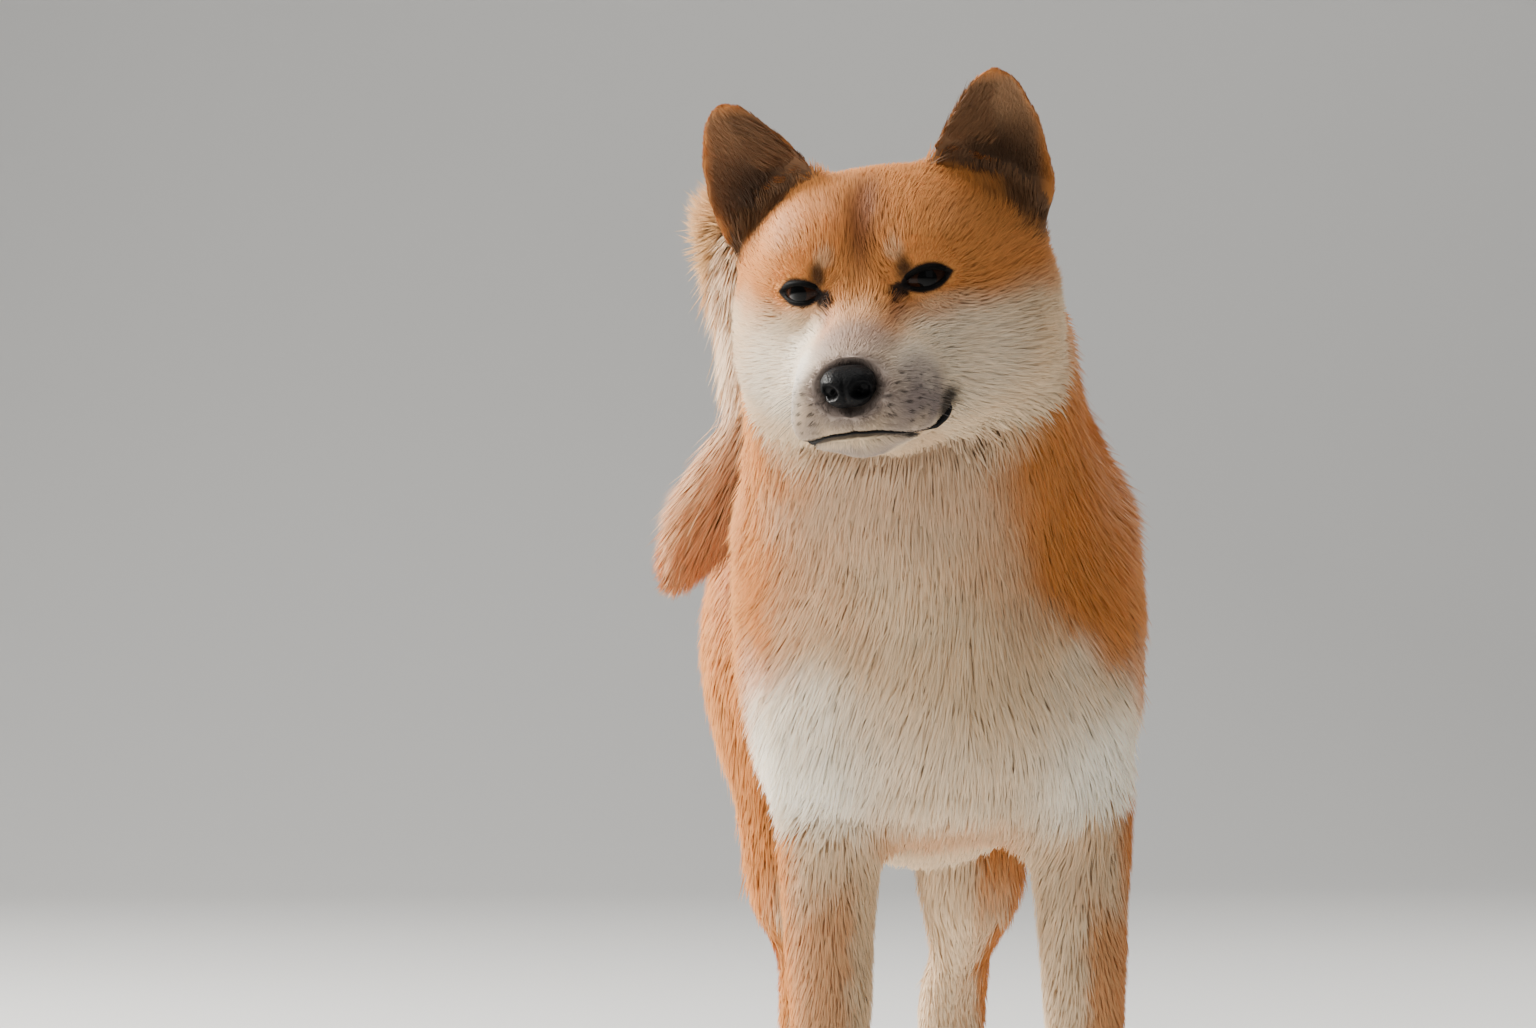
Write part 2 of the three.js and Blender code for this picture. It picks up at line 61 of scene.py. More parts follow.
# The dog's own frame: it faces -Y, its left side is +X, and the head has a turned frame of its own
HEAD_TURN = (12.0, -6.5, -18.0)
HEAD_PLACE = np.array((-0.036, -0.235, 0.460))
EYE_IN_HEAD = np.array((0.02390, -0.04729, 0.01062))
EYE_AXIS = (0.38, -0.92, 0.04)
EYE_RADIUS = 0.012
EYE_HALF_WIDTH = 0.0106
EYE_HALF_HEIGHT = 0.0042
MOUTH_MIDDLE = -0.072
MOUTH_LINE = [
    (0.000, -0.117, -0.0420), (0.012, -0.115, -0.0430), (0.020, -0.106, -0.0452), (0.026, -0.092, -0.0474),
    (0.029, -0.085, -0.0480), (0.031, -0.076, -0.0462), (0.033, -0.068, -0.0420), (0.034, -0.060, -0.0400),
]

# What the skin is made over, and the tail's line with the reach of its plume at each point
FLESH = [
    "head", "lower_jaw", "ear_left", "ear_right", "neck", "torso",
    "foreleg_left", "foreleg_right", "forepaw_left", "forepaw_right",
    "hindleg_left", "hindleg_right", "hindshank_left", "hindshank_right", "hindpaw_left", "hindpaw_right",
]
TAIL = ["tail_base", "tail_arch", "tail_tip"]
TAIL_LINE = [
    (-0.002, 0.168, 0.352, 0.019),
    (-0.005, 0.190, 0.372, 0.021),
    (-0.014, 0.212, 0.408, 0.025),
    (-0.032, 0.214, 0.458, 0.029),
    (-0.050, 0.184, 0.491, 0.030),
    (-0.057, 0.142, 0.484, 0.029),
    (-0.057, 0.114, 0.446, 0.025),
    (-0.060, 0.100, 0.410, 0.020),
    (-0.076, 0.093, 0.374, 0.023),
    (-0.091, 0.088, 0.348, 0.016),
    (-0.103, 0.083, 0.326, 0.005),
]
TAIL_CORE_SHARE = 0.42
PARTS = ["head", "jaw", "ear", "neck", "torso", "foreleg", "hindleg", "paw", "tail"]


def part_index(node):
    """Which of PARTS a node of flesh belongs to."""
    stems = ("head", "lower_jaw", "ear", "neck", "torso", "foreleg", "hind", "forepaw", "tail")
    for i, stem in enumerate(stems):
        if node.startswith(stem):
            return PARTS.index("paw") if "paw" in node else i
    raise ValueError(f"no part for {node}")


def turn_about(axis, degrees):
    return np.array(Matrix.Rotation(math.radians(degrees), 3, axis))


HEAD_AXES = turn_about("Z", HEAD_TURN[2]) @ turn_about("X", HEAD_TURN[0]) @ turn_about("Y", HEAD_TURN[1])


def middle_of(node):
    low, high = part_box(node)
    return np.array((low + high) / 2)


EYE_MIDDLE = (middle_of("eye_left") + middle_of("eye_right")) / 2
HEAD_ORIGIN = EYE_MIDDLE - HEAD_AXES @ (EYE_IN_HEAD * (0, 1, 1))
BODY_ORIGIN = HEAD_ORIGIN - HEAD_PLACE


def in_head(points):
    return (np.asarray(points) - HEAD_ORIGIN) @ HEAD_AXES


def from_head(points):
    return np.asarray(points) @ HEAD_AXES.T + HEAD_ORIGIN


def in_body(points):
    return np.asarray(points) - BODY_ORIGIN


def from_body(points):
    return np.asarray(points) + BODY_ORIGIN


# Small numeric helpers

def unit(vectors):
    return vectors / np.maximum(np.linalg.norm(vectors, axis=-1, keepdims=True), 1e-12)


def ramp(value, low, high):
    """0 below low, 1 above high, and smooth between; low may be above high."""
    t = np.clip((value - low) / (high - low), 0, 1)
    return t * t * (3 - 2 * t)


def patch(points, centre, half, soft=0.5):
    """1 inside an oval, fading to 0 outside it."""
    away = np.linalg.norm((points - np.array(centre)) / np.array(half), axis=1)
    return ramp(away, 1 + soft / 2, 1 - soft / 2)


def pair(points, centre, half, soft=0.5):
    """The same oval on both sides of the middle plane."""
    folded = points * (1, 1, 1)
    folded[:, 0] = np.abs(folded[:, 0])
    return patch(folded, centre, half, soft)


def ripple(points, size, shift=0.0):
    """A soft irregular value between -1 and 1 that changes over about the given size."""
    waves = [(1.0, 0.37, -0.22), (-0.41, 1.0, 0.31), (0.27, -0.36, 1.0), (0.71, 0.63, -0.68)]
    waves.append((-0.55, 0.52, 0.83))
    phases = (points @ np.array(waves).T) * (2.2 / size) + np.array([0.0, 1.7, 3.1, 4.4, 5.2]) + shift
    return np.sin(phases).sum(axis=1) / 3.2


def smoothed(values, edges, rounds):
    """Each value drawn towards the average of its neighbours, a number of times."""
    values = values.astype(float).reshape(len(values), -1)
    count = np.bincount(edges.ravel(), minlength=len(values))[:, None]
    for _ in range(rounds):
        total = np.empty_like(values)
        for column in range(values.shape[1]):
            v = values[:, column]
            forth = np.bincount(edges[:, 0], v[edges[:, 1]], len(v))
            back = np.bincount(edges[:, 1], v[edges[:, 0]], len(v))
            total[:, column] = forth + back
        values = 0.5 * values + 0.5 * total / np.maximum(count, 1)
    return values


# Mesh helpers

def linked(name, mesh):
    piece = bpy.data.objects.new(name, mesh)
    bpy.context.scene.collection.objects.link(piece)
    return piece


def soften(bm, verts, factor=0.5):
    bmesh.ops.smooth_vert(bm, verts=verts, factor=factor, use_axis_x=True, use_axis_y=True, use_axis_z=True)


def mesh_from(bm, name):
    mesh = bpy.data.meshes.new(name)
    bm.to_mesh(mesh)
    bm.free()
    return mesh


def finished(piece, replaced=()):
    """The piece rides on the still body and stands for the nodes it replaces."""
    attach(piece, "root")
    if replaced:
        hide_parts(*replaced)
    return piece


def with_modifiers_applied(piece):
    """The piece's mesh as its modifiers leave it."""
    graph = bpy.context.evaluated_depsgraph_get()
    graph.update()
    mesh = bpy.data.meshes.new_from_object(piece.evaluated_get(graph))
    piece.modifiers.clear()
    old = piece.data
    piece.data = mesh
    bpy.data.meshes.remove(old)
    return mesh


def remeshed(bm, name, voxel):
    """One closed surface round everything in bm."""
    piece = linked(name, mesh_from(bm, name))
    remesh = piece.modifiers.new("one_surface", "REMESH")
    remesh.mode = "VOXEL"
    remesh.voxel_size = voxel
    mesh = with_modifiers_applied(piece)
    bpy.data.objects.remove(piece)
    return mesh


def swept(bm, path, radii, segments, squash=1.0, up=(0, 0, 1)):
    """A round bar along a path, made by extruding one ring after another and closing both ends."""
    path = [Vector(p) for p in path]
    ring = bmesh.ops.create_circle(bm, segments=segments, radius=1)["verts"]
    turns = [2 * math.pi * i / segments for i in range(segments)]
    edges = [e for e in ring[0].link_edges if e.other_vert(ring[0]) in ring]
    edges = list({e for v in ring for e in v.link_edges})
    first = edges
    placed = None
    for i, point in enumerate(path):
        ahead = (path[min(i + 1, len(path) - 1)] - path[max(i - 1, 0)]).normalized()
        side = ahead.cross(Vector(up)).normalized()
        over = side.cross(ahead)
        if i:
            grown = bmesh.ops.extrude_edge_only(bm, edges=edges)["geom"]
            new = [v for v in grown if isinstance(v, bmesh.types.BMVert)]
            order = []
            for v in ring:
                order.append(next(e.other_vert(v) for e in v.link_edges if e.other_vert(v) in new))
            ring = order
            edges = [e for e in grown if isinstance(e, bmesh.types.BMEdge)]
        for v, turn in zip(ring, turns):
            v.co = point + (side * math.cos(turn) + over * (math.sin(turn) * squash)) * radii[i]
        placed = edges
    for rim in (first, placed):
        bmesh.ops.holes_fill(bm, edges=rim, sides=segments)
    return bm


def rounded_path(points, steps):
    """Evenly spread places on a smooth curve through the points; any extra columns are carried along."""
    points = np.array(points, float)
    padded = np.vstack([2 * points[0] - points[1], points, 2 * points[-1] - points[-2]])
    places = []
    for t in np.linspace(0, len(points) - 1 - 1e-9, steps):
        i, f = int(t), t - int(t)
        a, b, c, d = padded[i : i + 4]
        square, cube = 2 * a - 5 * b + 4 * c - d, 3 * b - a - 3 * c + d
        places.append(0.5 * (2 * b + (c - a) * f + square * f * f + cube * f**3))
    return np.array(places)


def smooth_path(points, rounds):
    """The path with each inner point drawn towards its neighbours' middle."""
    points = np.array(points)
    for _ in range(rounds):
        points[1:-1] = 0.5 * points[1:-1] + 0.25 * (points[:-2] + points[2:])
    return points


# The coat's facts over the whole body: markings, lie, depth, length and width

def eye_places(side):
    """Centre and axis of one eye, in the row frame."""
    centre = from_head(EYE_IN_HEAD * (side, 1, 1))
    axis = unit(HEAD_AXES @ np.array((EYE_AXIS[0] * side, EYE_AXIS[1], EYE_AXIS[2])))
    return centre, axis


LID_TILT = math.radians(5)


def almond(side, steps=48):
    """The opening between the lids as (across, up) places round the eye's axis, from the outer corner on."""
    turns = np.linspace(0, 2 * math.pi, steps, endpoint=False)
    a = np.cos(turns)
    b = np.sign(np.sin(turns)) * (1 - a * a) ** 0.78 * np.where(np.sin(turns) > 0, 1.06, 0.90)
    a = a * EYE_HALF_WIDTH - 0.0006 * np.clip(b, 0, 1)
    b = b * EYE_HALF_HEIGHT
    cos, sin = math.cos(LID_TILT), math.sin(LID_TILT)
    turned = np.stack([a * cos - b * sin, a * sin + b * cos])
    return turned.T * (side, 1)


def almond_nearness(a, b, side):
    """How far a place lies outside the lids' opening: 0 at its edge, about 1 at one half-height out."""
    a = a * side
    along = a * math.cos(LID_TILT) + b * math.sin(LID_TILT)
    over = b * math.cos(LID_TILT) - a * math.sin(LID_TILT)
    width = along / EYE_HALF_WIDTH
    height = over / (EYE_HALF_HEIGHT * np.where(over > 0, 1.06, 0.90))
    body = np.abs(height) + np.abs(width) ** 2.4
    return np.sqrt(np.maximum(body, 0)) - 1.0


def eye_basis(side):
    centre, axis = eye_places(side)
    over = HEAD_AXES @ np.array((0, 0, 1.0))
    across = unit(np.cross(over, axis))
    if np.dot(across, HEAD_AXES[:, 0]) < 0:
        across = -across
    upright = unit(over - axis * np.dot(over, axis))
    return centre, axis, across, upright


def eye_nearness(points):
    """How far each point lies from the nearer eye's opening: 0 at its edge and 1 at one half-width out."""
    nearest = np.full(len(points), 9.0)
    for side in (1, -1):
        centre, axis, across, upright = eye_basis(side)
        rel = points - centre
        away = almond_nearness(rel @ across, rel @ upright, side)
        nearest = np.minimum(nearest, np.where(rel @ axis > 0, away, 9.0))
    return nearest


def tail_guide(points):
    """For each point, the nearest place on the tail's line: share along, way of the tail, reach and place."""
    line = rounded_path(TAIL_LINE, 120)
    spots = from_body(line[:, :3])
    ways = unit(np.gradient(spots, axis=0))
    tree = KDTree(len(spots))
    for i, p in enumerate(spots):
        tree.insert(p, i)
    tree.balance()
    found = np.array([tree.find(p)[1] for p in points])
    return found / (len(spots) - 1), ways[found], line[found, 3], spots[found]


EAR_INNER = [(0.020, 0.018), (0.040, 0.020), (0.057, 0.025), (0.071, 0.034), (0.084, 0.045), (0.0905, 0.055)]
EAR_OUTER = [(0.002, 0.060), (0.018, 0.074), (0.040, 0.079), (0.061, 0.0775), (0.082, 0.072), (0.0905, 0.065)]
EAR_FOOT = [
    (0.020, 0.062), (0.033, 0.054), (0.0424, 0.0435), (0.0495, 0.0365), (0.059, 0.028),
    (0.070, 0.017), (0.076, 0.008),
]


def ear_share(q):
    """Where a point of an ear lies between its inner edge, -1, and its outer one, 1."""
    inner = np.interp(q[:, 2], *np.array(EAR_INNER).T)
    outer = np.interp(q[:, 2], *np.array(EAR_OUTER).T)
    return (np.abs(q[:, 0]) - (inner + outer) / 2) / np.maximum((outer - inner) / 2, 0.003)


CREAM_FRONT = [(0.200, 0.000, 0.095), (0.272, 0.000, 0.092), (0.290, -0.002, 0.074), (0.306, -0.012, 0.060),
               (0.320, -0.018, 0.054), (0.340, -0.026, 0.047), (0.368, -0.032, 0.041), (0.400, -0.035, 0.038)]


# Spots of the head's markings: one or a pair, centre and half-size in the head's frame, softness and share
SPOTS = {
    "brow_pale": (pair, (0.0155, -0.057, 0.0250), (0.0042, 0.014, 0.0044), 1.0, 0.36),
    "under_eye": (pair, (0.034, -0.054, -0.0020), (0.015, 0.02, 0.0060), 0.8, 0.45),
    "bridge_pale": (patch, (0, -0.084, 0.001), (0.013, 0.018, 0.012), 1.0, 0.30),
    "side_stripes": (pair, (0.0100, -0.050, 0.040), (0.0026, 0.03, 0.010), 1.0, 0.40),
    "tears": (pair, (0.0150, -0.071, 0.0030), (0.0034, 0.014, 0.0085), 0.9, 0.80),
    "bridge_grey": (patch, (0, -0.101, -0.008), (0.0185, 0.022, 0.012), 1.0, 0.72),
    "round_nose": (patch, (0, -0.1165, -0.0212), (0.0225, 0.020, 0.0185), 0.7, 0.95),
    "eye_corner": (pair, (0.0168, -0.063, 0.0082), (0.0042, 0.010, 0.0040), 0.7, 0.97),
    "lip_corner": (pair, (0.0310, -0.074, -0.0398), (0.0100, 0.015, 0.0058), 0.8, 0.92),
    "nose_edge": (patch, (0, -0.1165, -0.0212), (0.0132, 0.0150, 0.0108), 0.30, 0.95),
    "cheek_white": (pair, (0.034, -0.052, -0.024), (0.030, 0.034, 0.020), 0.9, 0.45),
    "muzzle_white": (pair, (0.026, -0.092, -0.022), (0.012, 0.020, 0.014), 0.9, 0.70),
}


def head_spot(q, name):
    """The share of one of the head's spots at each place in the head's frame."""
    shape, centre, half, soft, share = SPOTS[name]
    return shape(q, centre, half, soft) * share


def markings(points, normals, part):
    """The coat's markings at each point, with some painted shade and backlight among them: shares of cream, rust,
    grey, dark, white and ear brown.
    """
    q = in_head(points)
    b = in_body(points)
    nq = normals @ HEAD_AXES
    wander = ripple(points, 0.018)
    fine = ripple(points, 0.006, 2.0)
    is_head = (part == 0) | (part == 1)
    is_ear = part == 2
    is_trunk = (part == 3) | (part == 4)
    is_hind, is_tail = part == 6, part == 8
    is_leg = (part == 5) | is_hind | (part == 7)
    x = np.abs(q[:, 0])
    jitter = 0.0028 * wander + 0.0014 * fine

    # Head: red above a line from the muzzle under the eye to the cheek, cream and white below it
    cheek_line = 0.0005 - 0.12 * np.clip(x - 0.045, 0, 1) - 0.0025 * np.sign(q[:, 0]) + jitter
    cheek = ramp(q[:, 2], cheek_line + 0.009, cheek_line - 0.009) * ramp(q[:, 1], 0.040, 0.010)
    cheek = cheek * ramp(x, 0.010, 0.022)
    muzzle = ramp(q[:, 1], -0.062, -0.078) * ramp(q[:, 2], 0.0, -0.014)
    brow_spot = head_spot(q, "brow_pale")
    under_eye = head_spot(q, "under_eye")
    bridge_pale = head_spot(q, "bridge_pale")
    throat = ramp(q[:, 2], -0.040, -0.050) * 0.85
    cream_head = np.maximum.reduce([cheek, muzzle, brow_spot, under_eye, bridge_pale, throat])
    fanned = q.copy()
    fanned[:, 0] = (q[:, 0] - 0.0008) / (1 + 30 * np.clip(q[:, 2] - 0.036, 0, 0.02))
    stripe = patch(fanned, (0, -0.047, 0.034), (0.0066, 0.040, 0.0185), 1.2)
    side_stripes = head_spot(q, "side_stripes")
    tears = head_spot(q, "tears")
    flecks = ramp(fine * 0.5 + wander * 0.5, 0.0, 1.2) * ramp(q[:, 2], 0.010, 0.030) * 0.26
    crown = ramp(q[:, 2], 0.038, 0.060) * 0.16 + flecks
    rust_head = np.maximum.reduce([stripe, side_stripes, tears, crown])
    bridge = head_spot(q, "bridge_grey")
    pads = pair(q, (0.022, -0.101, -0.032), (0.016, 0.030, 0.017), 0.9)
    # The deeper grey on the left pad is painted shade; the rest is the pads' own grey with an uneven tone
    pads = pads * (0.55 + 0.20 * fine + 0.35 * (q[:, 0] > 0))
    round_nose = head_spot(q, "round_nose")
    # The chin's grey is partly its own colour and partly painted shade under the head
    chin = ramp(q[:, 2], -0.045, -0.049) * ramp(q[:, 1], -0.080, -0.098) * (0.78 + 0.2 * fine)
    grey_head = np.clip(np.maximum.reduce([bridge, pads, chin, round_nose]), 0, 1)
    rows = ramp(np.abs(np.sin(q[:, 1] * 640 + q[:, 2] * 90) * np.sin(q[:, 2] * 760)), 0.70, 0.96)
    rows = rows * pair(q, (0.0215, -0.102, -0.030), (0.014, 0.022, 0.0120), 0.6) * 0.75
    frayed = q + 0.0010 * fine[:, None]
    brow_dark = pair(frayed, (0.0195, -0.058, 0.0168), (0.0034, 0.010, 0.0062), 1.3) * 0.85
    near = eye_nearness(points)
    rim = ramp(near, 0.32, 0.16)
    corner_patch = head_spot(q, "eye_corner")
    lip_corner = head_spot(q, "lip_corner")
    lip_line = ramp(np.abs(q[:, 2] - mouth_height(q)), 0.0024, 0.0012) * ramp(q[:, 1], -0.060, -0.068) * 0.9
    nose_edge = head_spot(q, "nose_edge")
    dark_head = np.maximum.reduce(
        [0.15 * stripe, rows, brow_dark, rim, corner_patch, lip_corner, lip_line, nose_edge]
    )
    white_head = head_spot(q, "cheek_white")
    white_head = np.maximum(white_head, head_spot(q, "muzzle_white"))
    # The weaker white on the left side of the face is painted shade
    white_head = white_head * np.where(q[:, 0] > 0, 0.6, 1.0)
    # The fur before each ear takes on the colour of its cup, with a soft edge, and is darkened there as painted
    # shade
    foot = np.interp(x, *np.array(EAR_FOOT).T)
    before_ear = ramp(q[:, 2] - foot + 1.6 * jitter, -0.0085, 0.003) * ramp(x, 0.026, 0.038)
    before_ear = before_ear * ramp(q[:, 1], 0.030, 0.022) * ramp(q[:, 1], -0.032, -0.020)

    # Ears: brown in the cup, partly their own colour and partly painted shade in the hollow, darkest low in its
    # middle as painted shade, creamier towards the tip and more so on the left ear, with red along the outer rim
    # and down the back
    u = ear_share(q)
    open_side = ramp(nq @ np.array((0.0, -0.92, -0.40)), -0.10, 0.35)
    cup = open_side * ramp(u + 0.12 * wander, 0.96, 0.66) * ramp(u, -1.04, -0.92)
    cup = cup * ramp(q[:, 2], 0.0905, 0.081)
    low_ear = (q[:, 2] < foot + 0.012) * ramp(u, -1.6, -1.1) * ramp(u, 1.15, 0.85)
    low_ear = low_ear * ramp(nq[:, 1], 0.75, 0.30)
    cup = np.maximum(cup, low_ear)
    cup = cup * (1 - 0.30 * ramp(q[:, 2] + 0.006 * wander, 0.056, 0.080))
    ear_cream = np.where(q[:, 0] > 0, 0.60, 0.34) * ramp(q[:, 2] + 0.006 * wander, 0.045, 0.075) * cup
    # The dark low in the middle of each cup is painted shade
    deep = open_side * patch(np.stack([u, 0 * u, q[:, 2] / 0.001], axis=1), (0.05, 0, 36), (0.75, 1, 26), 1.0)
    rust_ear = 0.30 + 0.35 * ramp(nq[:, 1], 0.0, 0.5)
    # A pale rim along the edges of the cup's open side is painted backlight
    painted_rim_light = ramp(np.abs(u), 0.90, 1.0) * open_side * 0.22

    # Neck and chest: a cream bib that widens downwards to white shoulder points, red sides and back
    front = ramp(-normals[:, 1] + 0.5 * np.clip(-normals[:, 2], 0, 1), 0.02, 0.50)
    front = front * ramp(b[:, 1], 0.02, -0.04)
    height, centre, half = np.array(CREAM_FRONT).T
    aside = np.abs(b[:, 0] - np.interp(b[:, 2], height, centre) + 0.004 * wander + 0.002 * fine)
    reach = np.interp(b[:, 2], height, half)
    bib = ramp(aside, reach + 0.012, reach - 0.012) * front
    under = ramp(-normals[:, 2], 0.30, 0.75) * 0.8
    points_up = ramp(b[:, 2] + 0.012 * wander, 0.312 - 0.040 * ramp(np.abs(b[:, 0]), 0.05, 0.0), 0.245)
    shoulder_points = 0.16 + 0.66 * ramp(np.abs(b[:, 0]), 0.020, 0.062)
    white_body = points_up * ramp(b[:, 2], 0.208, 0.238) * front * shoulder_points
    collar = ramp(np.abs(b[:, 2] - 0.335 + 0.006 * wander), 0.045, 0.010) * ramp(aside, 0.010, 0.035)
    bib = bib * (1 - 0.28 * collar)
    bib = bib * (1 - 0.30 * ramp(b[:, 2] + 0.008 * wander, 0.315, 0.375))
    # Tan between the forelegs is partly the coat's own colour and partly painted shade between the legs
    between = ramp(b[:, 2] + 0.004 * wander, 0.232, 0.214) * ramp(np.abs(b[:, 0]), 0.046, 0.028)
    between = between * ramp(b[:, 1], -0.10, -0.13)
    chest = np.maximum(bib, under) * (1 - 0.55 * between)
    white_body = white_body * (1 - between)

    # Legs: red outside, cream inside and towards the feet
    side = np.sign(b[:, 0] + 0.004)
    start, full = np.where(side > 0, -0.30, -0.10), np.where(side > 0, 0.35, 0.55)
    inward = ramp(-normals[:, 0] * side + 0.10 * fine, start, full)
    in_front = ramp(-normals[:, 1], 0.2, 0.9) * np.where(side > 0, 0.25, 0.40)
    foot = ramp(b[:, 2], 0.10, 0.045) * 0.8
    seat = ramp(normals[:, 1] + 0.15 * wander, 0.35, 0.95) * is_hind * 0.38
    shin = ramp(-normals[:, 1] - 0.5 * normals[:, 0] * side, 0.0, 0.5) * ramp(b[:, 2], 0.20, 0.15)
    seat = np.maximum(seat, shin * is_hind * 0.85)
    top = ramp(b[:, 2] + 0.010 * wander, 0.155, 0.205) * 0.9
    top = top * ramp(-normals[:, 1] - 0.4 * normals[:, 0] * side, 0.0, 0.6)
    inward = inward * np.where(is_hind, ramp(b[:, 2], 0.245, 0.205), 1.0)
    leg_cream = np.maximum.reduce([inward, foot, seat, in_front * ~is_hind, top * ~is_hind])

    # Tail: pale along its length, partly its own cream and partly painted backlight, cream under the curl and
    # less pale towards the tip
    tail_cream_and_backlight = np.zeros(len(points))
    if is_tail.any():
        share, _, _, spot = tail_guide(points[is_tail])
        out = unit(points[is_tail] - spot)
        beneath = ramp(out @ np.array((0.25, -0.55, -0.80)), 0.0, 0.8)
        tail_cream_and_backlight[is_tail] = 0.84 + 0.20 * beneath + 0.15 * wander[is_tail]
        tail_cream_and_backlight[is_tail] *= 1 - 0.55 * ramp(share, 0.60, 0.80)

    patchy = 0.16 * ramp(wander, -0.2, 1.2) * ramp(b[:, 1], -0.05, 0.10)
    cream = is_head * cream_head + is_ear * np.maximum(painted_rim_light, ear_cream)
    cream = cream + is_trunk * np.maximum(chest, patchy) + is_leg * leg_cream + tail_cream_and_backlight
    rust = is_head * rust_head + is_ear * rust_ear + is_trunk * ramp(normals[:, 2], 0.3, 0.95) * 0.55
    # Grey over the upper bib of the neck is painted shade under the head
    grey = is_head * grey_head + is_trunk * 0.30 * ramp(b[:, 2], 0.325, 0.375) * bib
    # Dark also carries painted shade in the ear cups and in the fur before the ears
    dark = is_head * np.maximum(dark_head, 0.42 * before_ear) + is_ear * deep * 0.68
    # White up the tail's column is painted backlight
    white = is_head * white_head + is_trunk * white_body + 0.12 * tail_cream_and_backlight * ramp(b[:, 2], 0.34, 0.42)
    values = np.stack([cream, rust, grey, dark, white, is_ear * cup + is_head * before_ear * 0.85], axis=1)
    return np.clip(values, 0, 1)


def mouth_height(q):
    """Height in the head's frame of the line of the mouth, from the turn about the middle of the jaw."""
    line = np.array(MOUTH_LINE)
    turns = np.arctan2(line[:, 0], MOUTH_MIDDLE - line[:, 1])
    turn = np.arctan2(np.abs(q[:, 0]), MOUTH_MIDDLE - q[:, 1])
    return np.interp(turn, turns, line[:, 2]) - 0.03 * np.clip(q[:, 0], -0.02, 0.02)


